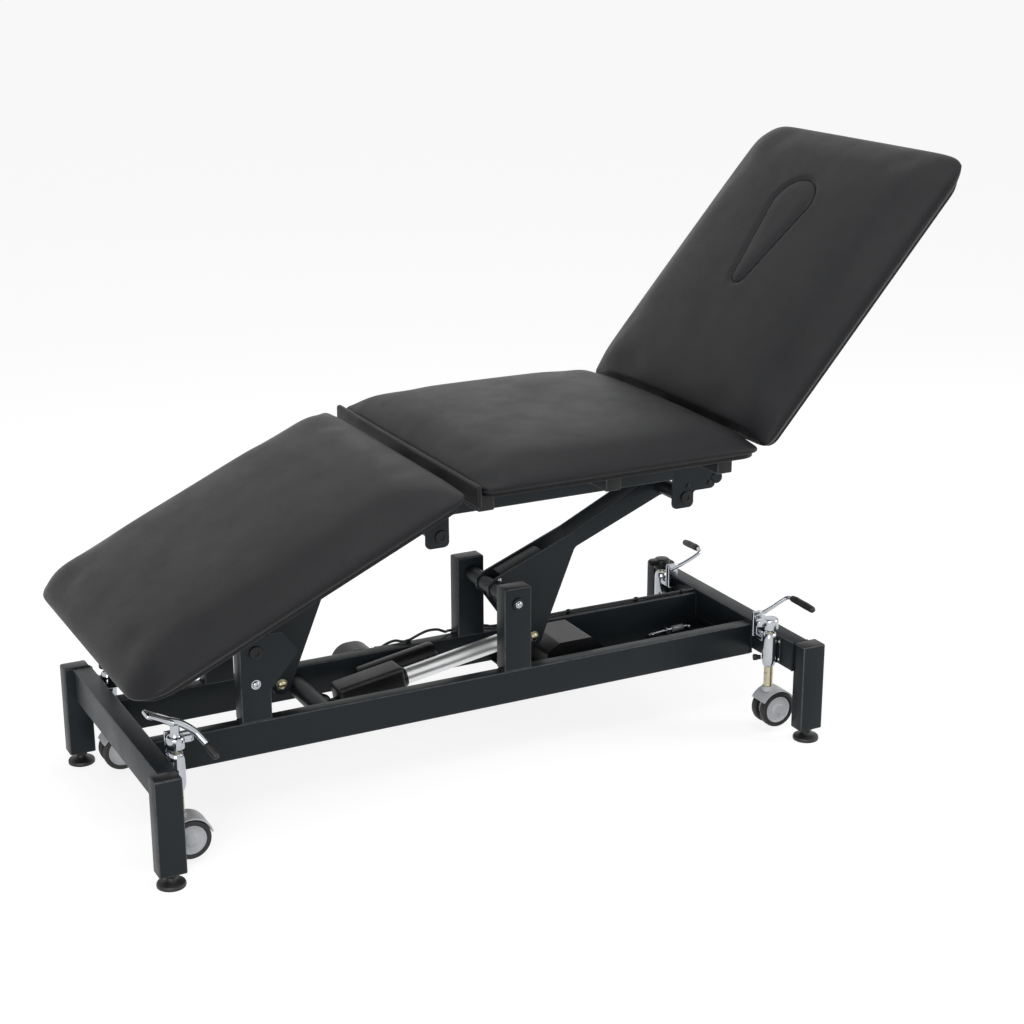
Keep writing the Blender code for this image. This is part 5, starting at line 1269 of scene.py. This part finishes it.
def castor_running_gear(end, side, s, across):
    """Zinc stem, hooded fork and twin wheels with black treads."""
    y = across * CASTOR_SIDE
    key = f"{end}_{side}"
    bm = bmesh.new()
    lathe(bm, at((s, y, 0)), UP, mm("0 105, 9.2 105, 10 105.8, 10 135, 9.3 135.6, 9.3 137.6, "
        "10 138.2, 10 224.6, 8.8 226, 0 226"))
    piece(f"castor_post_{key}", bm, ZINC, f"stem_{key}", f"castor_stem_{key}")

    centre = (s + WHEEL_SHIFT, WHEEL_HEIGHT)
    bm = bmesh.new()
    lathe(bm, at((s, y, 0)), UP, mm("0 93.4, 13 93.4, 13.8 96, 13 100, 13 103.6, 12 104.7, "
        "0 104.7"))
    shell = arc(centre, 0.0419, 12, 150, 30) + arc(centre, 0.0449, 150, 12, 30)
    plate(bm, shell, y - 0.0240, y + 0.0240, 0.0010)
    web = arc(centre, 0.0110, 180, 360, 16) + arc(centre, 0.0430, 34, 138, 20)
    plate(bm, web, y - 0.0050, y + 0.0050, 0.0008)
    piece(f"castor_hood_{key}", bm, GREY, f"fork_{key}", f"castor_fork_{key}")

    tread, hub, axle = bmesh.new(), bmesh.new(), bmesh.new()
    for out in (-1, 1):
        origin = at((centre[0], y + out * 0.0155, WHEEL_HEIGHT))
        ring_body(tread, origin, (0, out, 0), mm("30 -8.4, 36.5 -8.4, 38.8 -7.4, 39.8 -5, "
            "40 -2, 40 2, 39.8 5, 38.8 7.4, 36.5 8.4, 32.2 8.4, 31.2 7.8, 30 7.8"), 64)
        lathe(hub, origin, (0, out, 0), mm("0 -8.2, 29.9 -8.2, 29.9 6.8, 29 7.6, 27.2 7.6, "
            "26.2 6.6, 25 6, 15 6.2, 13.2 6.6, 12.2 7.8, 10 8.4, 0 8.5"), 64)
    lathe(axle, at((centre[0], y - 0.0075, WHEEL_HEIGHT)), (0, 1, 0),
          mm("0 0, 3.6 0, 3.6 15, 0 15"), 20)
    body = f"wheels_{key}"
    piece(f"castor_treads_{key}", tread, RUBBER, body, f"castor_wheels_{key}", "castor_tyre")
    piece(f"castor_hubs_{key}", hub, GREY, body)
    piece(f"castor_axle_{key}", axle, STEEL, body)


def lever_cap(bm, s, y, nose):
    """The cap over the housing and its nose."""
    lathe(bm, at((s, y, 0)), UP, mm("0 238, 17 238, 18 239, 18 256, 17.4 259.2, 15.8 261.2, "
        "13 262, 0 262"), 48)
    tip = s + nose * 0.027
    ends = arc((tip, y), 0.009, -90, 90, 16) if nose > 0 else arc((tip, y), 0.009, 90, 270, 16)
    outline = ends + ([(s, y + 0.009), (s, y - 0.009)] if nose > 0
                      else [(s, y - 0.009), (s, y + 0.009)])
    plate(bm, outline, 0.2480, 0.2612, 0.0022, plane="plan", segments=3)


def across_rod(bm, s, z, first, last, radius, edge=0.0006):
    """A round bar across the table with eased ends."""
    low, high = sorted((first, last))
    run = high - low
    lathe(bm, at((s, low, z)), (0, 1, 0), [(0, 0), (radius - edge, 0), (radius, edge),
                                           (radius, run - edge), (radius - edge, run),
                                           (0, run)], 28)


def head_lever(side, s, across):
    """Lever of a head castor: cap, shaft, blade, chrome arm and black grip."""
    y = across * CASTOR_SIDE
    key = f"head_{side}"
    body = f"lever_{key}"
    cap = bmesh.new()
    lever_cap(cap, s, y, -1)
    # Near cap chrome, far cap black plastic: the far cap's black is painted shade on what is likely
    # the same chrome part
    piece(f"castor_cap_{key}", cap, CHROME if across < 0 else PLASTIC, body, f"castor_lever_{key}")
    bm = bmesh.new()
    blade = across * (CASTOR_SIDE - 0.050)
    across_rod(bm, s, LEVER_HEIGHT, blade, across * (CASTOR_SIDE - 0.0165), 0.006)
    block(bm, (s - 0.012, s + 0.012), (blade - 0.003, blade + 0.003), (0.205, 0.262), 0.0022)
    sweep(bm, smooth_points(beside(HEAD_ARM, s, across)), [0.0045] * 31)
    piece(f"castor_lever_arm_{key}", bm, CHROME, body, sharp=50)
    grip = bmesh.new()
    path = smooth_points(beside(HEAD_GRIP, s, across))
    widths = smooth_values([0.0072, 0.0080, 0.0076, 0.0080, 0.0074])
    sweep(grip, path, widths, sides=28)
    piece(f"castor_grip_{key}", grip, RUBBER, body, sharp=60)
    knob = bmesh.new()
    lathe(knob, at((s - 0.012, y - across * 0.014, 0.168)), (-0.9, across * -0.43, 0),
          mm("0 0, 5 0, 5.2 6, 6.6 8, 7.2 13, 6.2 17, 0 18"), 28)
    piece(f"castor_catch_{key}", knob, PLASTIC, "base")


def foot_lever(side, s, across):
    """Lever of a foot castor: cap, post, chrome arm with a spoon, and a dark tip."""
    y = across * CASTOR_SIDE
    key = f"foot_{side}"
    body = f"lever_{key}"
    bm = bmesh.new()
    lever_cap(bm, s, y, 1)
    across_rod(bm, s, LEVER_HEIGHT, across * (CASTOR_SIDE - 0.050),
               across * (CASTOR_SIDE - 0.0165), 0.006)
    lathe(bm, at((s, y, 0)), UP, mm("0 260, 12 260, 9.8 264, 9 269, 9 285, 0 286"), 32)
    sweep(bm, smooth_points(beside(FOOT_ARM, s, across)),
          smooth_values([0.0072, 0.0070, 0.0072, 0.0070, 0.0068, 0.0062]), sides=28)
    piece(f"castor_lever_arm_{key}", bm, CHROME, body, f"castor_lever_{key}", sharp=50)
    slope = Matrix.Rotation(radians(27.0), 3, "Y")
    spoon = bmesh.new()
    place = at((s - 0.030, y, 0.304))
    box(spoon, place - Vector((0.030, 0.016, 0.0050)), place + Vector((0.030, 0.016, 0.0050)),
        0.0048, 5, slope)
    piece(f"castor_spoon_{key}", spoon, CHROME, body)
    pad = bmesh.new()
    place = at((s - 0.030, y, 0.304)) + slope @ Vector((-0.0145, 0, 0.0042))
    box(pad, place - Vector((0.0115, 0.0108, 0.0016)), place + Vector((0.0115, 0.0108, 0.0016)),
        0.0013, 3, slope)
    piece(f"castor_spoon_insert_{key}", pad, RUBBER, body, slot="pedal_rubber")
    tip = bmesh.new()
    sweep(tip, smooth_points(beside(FOOT_TIP, s, across)), smooth_values([0.0076, 0.0080, 0.0074]),
          sides=28)
    piece(f"castor_lever_tip_{key}", tip, RUBBER, body, sharp=60)


def castors():
    """Four castors with their levers."""
    for end, _ in ENDS:
        for side, across in SIDES:
            s = CASTOR_PLACES[end]
            castor_housing(end, side, s, across)
            castor_running_gear(end, side, s, across)
            if end == "head":
                head_lever(side, s, across)
            else:
                foot_lever(side, s, across)


# ---------------------------------------------------------------- lift

def arm_outline(pin):
    """Side outline of a lift arm plate with its gusset down to the rod pin."""
    rod_x, rod_z = ROD_OFFSET.x, ROD_OFFSET.z
    boss_low = degrees(atan2(ARM.z - 0.144, ARM.x - 0.395))
    top_angle = degrees(atan2(ARM.z - 0.097, ARM.x - 0.184)) + 90
    away = degrees(atan2(rod_z + 0.020, rod_x + 0.019))
    outline = rounded([(-0.019, -0.020, 0.0066), (-0.019, 0.010, 0.0066), (0, 0.024, 0.0066),
                       (0.184, 0.097, 0.018), (ARM.x, ARM.z + 0.024, 0)])[:-1]
    outline += arc((ARM.x, ARM.z), 0.024, top_angle, boss_low - 180, 18)
    outline += rounded([(0.395, 0.144, 0), (0.189, 0.065, 0.018), (rod_x + 0.022, rod_z, 0)],
                       10)[1:-1]
    outline += arc((rod_x, rod_z), 0.022, 0, away - 90, 14)
    return [(pin.x + x, pin.z + z) for x, z in outline]


def lift_arms():
    """Two arms, each of two plates, a web and a torque tube at each end."""
    slope = atan2(0.097 - 0.024, 0.184)
    for end, pin in POSTS:
        body = f"{end}_arm"
        rod = pin + ROD_OFFSET
        bm = bmesh.new()
        for low, high in ((-0.030, -0.025), (0.025, 0.030)):
            plate(bm, arm_outline(pin), low, high, 0.0010)
        piece(f"arm_plates_{end}", bm, POWDER, body, f"lift_arm_{end}", sharp=30)
        bm = bmesh.new()
        for place, half in ((pin, 0.0917), (pin + ARM, 0.1287)):
            ring_body(bm, at(place - Vector((0, half, 0))), (0, 1, 0),
                      [(0.0104, 0), (0.0164, 0), (0.0170, 0.0006), (0.0170, 2 * half - 0.0006),
                       (0.0164, 2 * half), (0.0104, 2 * half)], 48)
        along = Vector((cos(slope), 0, sin(slope)))
        under = Vector((sin(slope), 0, -cos(slope)))
        middle = at(pin + Vector((0, 0, 0.024)) + along * 0.0695 + under * 0.005)
        half = Vector((0.0525, 0.0275, 0.0025))
        box(bm, middle - half, middle + half, 0.0006, 2, Matrix.Rotation(-slope, 3, "Y"))
        for across in (-1, 1):
            across_rod(bm, rod.x, rod.z, across * 0.0103, across * 0.026, 0.007)
        piece(f"arm_tubes_{end}", bm, POWDER, body, sharp=40)
        spots = [((rod.x, across * 0.030, rod.z), (0, across, 0), 0.0080)
                 for across in (-1, 1)]
        fasteners(f"arm_rod_bolts_{end}", "hexagon", spots, ZINC, body)
        spots = [((pin.x + 0.008, across * 0.030, pin.z + 0.0195), (0, across, 0), 0.0034)
                 for across in (-1, 1)]
        fasteners(f"arm_set_screws_{end}", "dome", spots, STEEL, body)
        runs = []
        for place in (pin, pin + ARM):
            ring = arc((place.x, place.z), 0.0175, 0, 360, 24)
            runs += [[(s, face, z) for s, z in ring] for face in (-0.0305, 0.0305, -0.0245, 0.0245)]
        welds(f"arm_weld_beads_{end}", runs, body, 0.0020)
    pins = (("foot_low", FOOT_LOW, "base", 0.1356, 0.1303),
            ("head_low", HEAD_LOW, "base", 0.1303, 0.1303),
            ("foot_high", FOOT_LOW + ARM, "top", 0.1353, 0.1353),
            ("head_high", HEAD_LOW + ARM, "top", 0.1353, 0.1353))
    for name, place, body, near, far in pins:
        bm = bmesh.new()
        run = near + far
        lathe(bm, at(place - Vector((0, near, 0))), (0, 1, 0), [
            (0, -0.0022), (0.0052, -0.0022), (0.0058, -0.0036), (0.0118, -0.0040),
            (0.0134, -0.0034), (0.0140, -0.0020), (0.0140, 0), (0.0099, 0), (0.0099, run),
            (0.0140, run), (0.0140, run + 0.0020), (0.0134, run + 0.0034),
            (0.0118, run + 0.0040), (0.0058, run + 0.0036), (0.0052, run + 0.0022),
            (0, run + 0.0022)], 40)
        piece(f"pivot_bolt_{name}", bm, OXIDE, body, f"pivot_pin_{name}")


def cheek():
    """The plate on the near foot upright with its domed bolt, and the other post's screw."""
    foot = (FOOT_LOW.x - 0.002, FOOT_LOW.z - 0.066)
    left, top = FOOT_LOW.x - 0.031, FOOT_LOW.z + 0.032
    corners = [(left, top, 0.006), (FOOT_LOW.x + 0.058, top, 0.006),
               (FOOT_LOW.x + 0.089, FOOT_LOW.z - 0.012, 0.006),
               (foot[0] + 0.024, foot[1] - 0.024, 0.024), (left, foot[1] - 0.024, 0.024)]
    bm = bmesh.new()
    plate(bm, rounded(corners, 10), -0.1353, -0.1303, 0.0012)
    piece("cheek_plate", bm, POWDER, "base", "pivot_cheek", sharp=30)
    fasteners("cheek_bolt", "dome", [((foot[0], -0.1353, foot[1]), (0, -1, 0), 0.0076)], CHROME,
              "base")
    fasteners("post_screw", "dome", [((HEAD_LOW.x, -0.1342, HEAD_LOW.z), (0, -1, 0), 0.0058)],
              CHROME, "base")


# ---------------------------------------------------------------- actuator

DRIVE_SLOPE = atan2(ROD_PIN.z - REAR_PIN.z, ROD_PIN.x - REAR_PIN.x)
DRIVE_LENGTH = (ROD_PIN - REAR_PIN).length
DRIVE = Vector((cos(DRIVE_SLOPE), 0, sin(DRIVE_SLOPE)))
DRIVE_UP = Vector((-sin(DRIVE_SLOPE), 0, cos(DRIVE_SLOPE)))


def on_drive(along, across=0.0, up=0.0):
    """A place in the actuator's own frame as a point of the frame."""
    return at(REAR_PIN + DRIVE * along + Vector((0, across, 0)) + DRIVE_UP * up)


def drive_box(bm, along, across, up, edge, segments=4):
    """A block square to the actuator."""
    middle = on_drive(sum(along) / 2, sum(across) / 2, sum(up) / 2)
    half = Vector((along[1] - along[0], across[1] - across[0], up[1] - up[0])) / 2
    return box(bm, middle - half, middle + half, edge, segments,
               Matrix.Rotation(-DRIVE_SLOPE, 3, "Y"))


def actuator():
    """Gearbox with its motor, satin outer tube, bright rod and the tube it hangs on."""
    bm = bmesh.new()
    drive_box(bm, (0.022, 0.170), (-0.029, 0.029), (-0.028, 0.034), 0.0085, 5)
    drive_box(bm, (0.0, 0.036), (-0.0075, 0.0075), (-0.0066, 0.0066), 0.002)
    ring_body(bm, on_drive(0, -0.015), (0, 1, 0), mm("6.4 0, 12.4 0, 13 0.8, 13 29.2, "
        "12.4 30, 6.4 30"), 40)
    lathe(bm, on_drive(0.095, 0.052), DRIVE, mm("0 0, 26.2 0, 29 3, 29 148, 28 149, 28 151, "
        "29 152, 29 170, 27 176, 21 179.5, 0 180"), 56)
    piece("drive_gearbox", bm, PLASTIC, "actuator", "actuator_gearbox")
    bm = bmesh.new()
    ring_body(bm, on_drive(0.1704), DRIVE, mm("12.8 0, 18 0, 18 224, 17.6 224.4, 17.6 225.6, "
        "18 226, 18 233, 17 234.4, 12.8 234.4"), 56)
    piece("drive_tube", bm, SATIN, "actuator", "actuator_tube")
    collar = bmesh.new()
    ring_body(collar, on_drive(0.3980), DRIVE, mm("10.6 0, 12.6 0, 12.6 6.8, 11.6 7.8, "
        "10.6 7.8"), 40)
    ring_body(collar, on_drive(0.1690), DRIVE, mm("18.2 0, 21.5 0, 21.5 8, 20 10, 18.2 10"), 48)
    piece("drive_seals", collar, PLASTIC, "actuator")
    bm = bmesh.new()
    lathe(bm, on_drive(0.2400), DRIVE, [(0, 0), (0.0098, 0), (0.0100, 0.0002),
                                        (0.0100, DRIVE_LENGTH - 0.2520),
                                        (0, DRIVE_LENGTH - 0.2520)], 40)
    ring_body(bm, on_drive(DRIVE_LENGTH, -0.010), (0, 1, 0), mm("7.4 0, 13.4 0, 14 0.6, "
        "14 19.4, 13.4 20, 7.4 20"), 40)
    piece("drive_rod", bm, STEEL, "actuator_piston", "actuator_rod", "satin_aluminium")

    middle = (0.437, 0.17775)
    bm = bmesh.new()
    ring_body(bm, at((middle[0], -0.0996, middle[1])), (0, 1, 0), mm("18 0, 20.8 0, 21 0.2, "
        "21 199, 20.8 199.2, 18 199.2"), 48)
    run = Vector((REAR_PIN.x - middle[0], REAR_PIN.z - middle[1]))
    side = Vector((-run.y, run.x)).normalized() * 0.014
    heading = degrees(atan2(run.y, run.x))
    lug = [(middle[0] + side.x, middle[1] + side.y), (middle[0] - side.x, middle[1] - side.y)] \
        + arc((REAR_PIN.x, REAR_PIN.z), 0.014, heading - 90, heading + 90, 14)
    for across in (-1, 1):
        plate(bm, lug, across * 0.0154, across * 0.0213, 0.0008)
    across_rod(bm, REAR_PIN.x, REAR_PIN.z, -0.0216, 0.0216, 0.006)
    piece("drive_cross_tube", bm, POWDER, "base", "actuator_cross_tube", sharp=40)


# ---------------------------------------------------------------- control box, tray, foot switch

def control_box():
    """The rounded box on the far rail, with the cable's gland."""
    outline = rounded(mm("552 161.5 10, 645 161.5 10, 645 213.5 40, 552 213.5 40"), 14)
    bm = bmesh.new()
    plate(bm, outline, 0.1304, 0.1823, 0.0060, segments=4)
    piece("control_case", bm, PLASTIC, "base", "control_box")
    gland = bmesh.new()
    lathe(gland, at((0.6440, 0.150, 0.1985)), (1, 0, 0.09), mm("3 0, 6.4 0, 6.4 3, 5.6 3.6, "
        "5 10, 4 16, 3 16.4"), 28)
    piece("cable_gland", gland, RUBBER, "base")


SWITCH_FLOOR = 0.1463
SWITCH_START = 0.955
SWITCH_END = 1.105


def foot_switch():
    """The guarded foot switch on the tray: hood, pedal and ribs."""
    floor = SWITCH_FLOOR
    outline = rounded([(SWITCH_START, floor, 0.002), (SWITCH_END, floor, 0.002),
                       (SWITCH_END, floor + 0.040, 0.008),
                       (SWITCH_END - 0.042, floor + 0.078, 0.010),
                       (SWITCH_START + 0.030, floor + 0.078, 0.010),
                       (SWITCH_START, floor + 0.060, 0.010)], 8)
    bm = bmesh.new()
    plate(bm, outline, -0.060, 0.060, 0.007, segments=5)
    hood = solid("switch_hood", bm)
    mouth = bmesh.new()
    block(mouth, (SWITCH_END - 0.074, SWITCH_END + 0.02), (-0.056, 0.056),
          (floor + 0.004, floor + 0.034), 0.0018)
    cutter = add("switch_mouth", mouth)
    hood.data = carve(hood, cutter, "DIFFERENCE")
    bpy.data.objects.remove(cutter)
    hood.data.materials.clear()
    hood.data.materials.append(PLASTIC)
    smoothed(hood.data, 30)
    settle(hood, "base", PLASTIC, "foot_switch_hood")

    hinge = (SWITCH_END - 0.070, floor + 0.018)
    pedal = bmesh.new()
    block(pedal, (hinge[0], SWITCH_END - 0.0042), (-0.045, 0.045),
          (floor + 0.0142, floor + 0.0220), 0.0022)
    across_rod(pedal, hinge[0], hinge[1], -0.0556, 0.0556, 0.003)
    for k in range(6):
        start = hinge[0] + 0.016 + k * 0.0082
        block(pedal, (start, start + 0.0042), (-0.041, 0.041), (floor + 0.0214, floor + 0.0228),
              0.0006, 2)
    piece("switch_pedal", pedal, RUBBER, "pedal", "foot_switch_pedal", "pedal_rubber")


def tray_finish():
    """The tray keeps its shape and takes the frame's finish; a lip closes its head end."""
    lip = bmesh.new()
    face = BASE_LENGTH - BAR_IN
    block(lip, (face - 0.0032, face - 0.0004), (-0.0985, 0.0985), (0.1456, 0.1600), 0.0008, 2)
    piece("tray_end_lip", lip, POWDER, "base")
    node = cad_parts["tray"]
    for index in range(max(1, len(node.material_slots))):
        if node.material_slots:
            node.material_slots[index].material = POWDER
        else:
            node.data.materials.append(POWDER)


LOOSE_PIN = mm("1279.5 40 156, 1274.5 49 150, 1280 56 149, 1295 55 151, 1330 54 154, "
    "1383 56 154")


def loose_pin():
    """A bright pin that lies on the tray: bent end, middle clip, cross end, clear sleeve."""
    path = smooth_points([Vector(point) for point in LOOSE_PIN], 5)
    bm = bmesh.new()
    sweep(bm, [at(point) for point in path], [0.0030] * len(path), sides=14)
    lathe(bm, at((1.3830, 0.0440, 0.1540)), (0, 1, 0),
          mm("0 0, 2.6 0.4, 3.4 2, 3.4 22, 2.6 23.6, 0 24"), 20)
    block(bm, (1.3200, 1.3315), (0.0440, 0.0640), (0.1466, 0.1600), 0.0022)
    piece("tray_pin", bm, CHROME, "base")
    sleeve = bmesh.new()
    ring_body(sleeve, at((1.3400, 0.0548, 0.1540)), (1, 0.05, 0), mm("3.4 0, 6.2 0, 6.8 1, "
        "6.8 29, 6.2 30, 3.4 30"), 24)
    piece("tray_pin_sleeve", sleeve, CLEAR, "base")


# ---------------------------------------------------------------- top frame

SEAT_BARS = (0.682, 0.965, 1.228)
SEAT_BAR = 0.035
FRAME_LOW = 0.602


def tab_outline(pin, reach):
    """Outline of a bracket plate round one upper pivot."""
    corners = [(pin.x - 0.033, FRAME_LOW, 0), (pin.x - 0.033, pin.z - 0.023, 0.010),
               (pin.x + 0.018, pin.z - 0.023, 0.010)]
    if reach:
        corners += [(pin.x + 0.018, pin.z + 0.012, 0.004), (pin.x + reach, pin.z + 0.012, 0.010),
                    (pin.x + reach, FRAME_LOW, 0)]
    else:
        corners.append((pin.x + 0.018, FRAME_LOW, 0))
    return rounded(corners, 8)


def lug_outline(hinge, inward):
    """Outline of a lug from a side rail's end to a hinge pin."""
    root = hinge.x + inward * 0.045
    if inward > 0:
        shape = arc((hinge.x, hinge.z), 0.014, 80, 260, 16)
    else:
        shape = arc((hinge.x, hinge.z), 0.014, 100, -80, 16)
    return shape + [(root, FRAME_LOW), (root, 0.6268)]


def seat_frame():
    """Side rails, cross bars, tabs, lugs and hinge pins under the seat."""
    bm = bmesh.new()
    for across in (-1, 1):
        block(bm, (0.680, 1.300), (across * 0.105, across * 0.135), (0.577, 0.627))
        for pin, reach in ((FOOT_LOW + ARM, 0), (HEAD_LOW + ARM, 0.072)):
            plate(bm, tab_outline(pin, reach), across * 0.129, across * 0.1351, 0.0010)
        across_rod(bm, 1.324, 0.569, across * 0.123, across * 0.138, 0.013, edge=0.0016)
        for hinge, inward in ((LEG_HINGE, 1), (BACK_HINGE, -1)):
            plate(bm, lug_outline(hinge, inward), across * 0.112, across * 0.124, 0.0010)
    for place in SEAT_BARS:
        block(bm, (place, place + SEAT_BAR), (-0.284, 0.284), (0.6268, 0.6695))
    block(bm, (0.930, 0.950), (-0.107, 0.107), (0.5941, 0.6226), 0.0016)
    for hinge in (LEG_HINGE, BACK_HINGE):
        across_rod(bm, hinge.x, hinge.z, -0.1237, 0.1237, 0.008)
    piece("seat_frame_steel", bm, POWDER, "top", "seat_frame", sharp=32)
    spots = []
    for across in (-1, 1):
        for s, z in ((1.305, 0.560), (1.252, 0.560)):
            spots.append(((s, across * 0.1351, z), (0, across, 0), 0.0042))
    fasteners("tab_bolts", "hexagon", spots, OXIDE, "top")
    runs = []
    for across in (-1, 1):
        for place in SEAT_BARS:
            runs += [[(s, across * 0.107, 0.627), (s, across * 0.133, 0.627)]
                     for s in (place, place + SEAT_BAR)]
    welds("seat_weld_beads", runs, "top", 0.0022)
    caps = bmesh.new()
    for place in SEAT_BARS:
        for across in (-1, 1):
            block(caps, (place + 0.002, place + 0.033), (across * 0.2825, across * 0.2852),
                  (0.6290, 0.6673), 0.0008)
    piece("seat_bar_caps", caps, PLASTIC, "top")
    strip = bmesh.new()
    block(strip, (0.6489, 0.6615), (-0.346, 0.346), (0.6552, 0.7000), 0.0058, 6)
    piece("hinge_strip", strip, VINYL, "top", "hinge_cover_strip")


def section_frame(name, node, body, hinge, angle, sign, bars, eye, eye_side):
    """Frame of a tilting section: bars, necks, hinge sleeve and the crank of its spring."""
    bm = bmesh.new()
    low, high = bars
    for across in (-1, 1):
        first, last = sorted((sign * 0.045, sign * 0.6202))
        box(bm, (first, across * 0.200 - 0.015, low), (last, across * 0.200 + 0.015, high),
            STEEL_EDGE)
        shape = [(0, -0.0126), (sign * 0.045, low), (sign * 0.060, low + 0.002),
                 (sign * 0.060, high - 0.002), (sign * 0.045, high - 0.002),
                 (0, min(0.0126, high + 0.013))]
        plate(bm, shape, across * 0.080 - 0.004, across * 0.080 + 0.004, 0.0008, place=Vector)
    for start in (0.045, 0.590):
        first, last = sorted((sign * (start + 0.0004), sign * (start + 0.030)))
        box(bm, (first, -0.2146, low + 0.0003), (last, 0.2146, high - 0.0003), STEEL_EDGE)
    ring_body(bm, (0, -0.1115, 0), (0, 1, 0), mm("8.6 0, 12.4 0, 13 0.6, 13 222.4, 12.4 223, "
        "8.6 223"), 40)
    for vert in bm.verts:
        vert.co = turned_place(hinge, angle, vert.co)
    run = Vector((eye[0] - hinge.x, eye[1] - hinge.z))
    side = Vector((-run.y, run.x)).normalized() * 0.0108
    heading = degrees(atan2(run.y, run.x))
    crank = [(hinge.x + side.x, hinge.z + side.y), (hinge.x - side.x, hinge.z - side.y)] \
        + arc(eye, 0.010, heading - 90, heading + 90, 14)
    for out in (-1, 1):
        plate(bm, crank, eye_side + out * 0.008, eye_side + out * 0.014, 0.0008)
    piece(name, bm, POWDER, body, node, sharp=32)
    fasteners(name + "_eye_bolts", "hexagon",
              [((eye[0], eye_side + out * 0.014, eye[1]), (0, out, 0), 0.0050)
               for out in (-1, 1)], OXIDE, body)


def gas_spring(name, y, z, start, mouth, eye_s):
    """A black cylinder and the bright rod that slides out of it to its eye."""
    toward = 1 if mouth > start else -1
    axis = (toward, 0, 0)
    run = abs(mouth - start)
    bm = bmesh.new()
    ring_body(bm, at((start, y, z)), axis, [
        (0.0043, 0), (0.0092, 0), (0.0100, 0.0010), (0.0100, run - 0.0080),
        (0.0094, run - 0.0074), (0.0094, run - 0.0012), (0.0084, run), (0.0043, run)], 40)
    piece(f"spring_cylinder_{name}", bm, OXIDE, "top", f"gas_spring_cylinder_{name}",
          "black_plastic")
    bm = bmesh.new()
    reach = abs(eye_s - mouth)
    lathe(bm, at((mouth - toward * 0.070, y, z)), axis,
          [(0, 0), (0.0040, 0), (0.0040, 0.070 + reach - 0.008), (0, 0.070 + reach - 0.008)], 28)
    ring_body(bm, at((eye_s, y - 0.006, z)), (0, 1, 0), mm("4 0, 8.4 0, 9 0.6, 9 11.4, "
        "8.4 12, 4 12"), 32)
    piece(f"spring_rod_{name}", bm, CHROME, f"{name}_spring_rod", f"gas_spring_rod_{name}",
          "bright_steel")


# ---------------------------------------------------------------- the whole table

rail_cable()
end_frames()
rails_and_uprights()
base_welds()
levelling_feet()
castors()
lift_arms()
cheek()
actuator()
control_box()
foot_switch()
tray_finish()
loose_pin()
seat_frame()
section_frame("leg_frame_steel", "leg_frame", "leg_section", LEG_HINGE, LEG_ANGLE, -1,
              (0.0045, 0.0297), (0.6669, 0.6018), -0.050)
section_frame("back_frame_steel", "back_frame", "back_section", BACK_HINGE, BACK_ANGLE, 1,
              (-0.0210, 0.0042), (1.3264, 0.6063), 0.050)
gas_spring("leg", -0.050, 0.6018, 0.9297, 0.740, 0.6669)
gas_spring("back", 0.050, 0.6063, 0.9503, 1.190, 1.3264)
upholster("leg_pad", "cushion_leg", "leg_section", LEG_HINGE, LEG_ANGLE, -1, 0.008, 0.030, 0.714,
          0.048, 0.029, (0.026, 0.068), reach=(0.006, 0.010), give=("leg_tilt", 0.979))
seat = upholster("seat_pad", "cushion_seat", "top", Vector((0.662, 0, 0.670)), 0.0, 1, 0.0,
                 0.0, 0.634, 0.043, 0.028, (0.030, 0.034), reach=(0.0, -0.0012))
back = upholster("back_pad", "cushion_back", "back_section", BACK_HINGE, BACK_ANGLE, 1, 0.013,
                 0.0045, 0.714, 0.052, 0.026, (0.024, 0.058), hole=True, reach=(0.001, 0.012))
room_for_the_back(seat, back)
for item in ITEM.values():
    bpy.data.objects.remove(item)
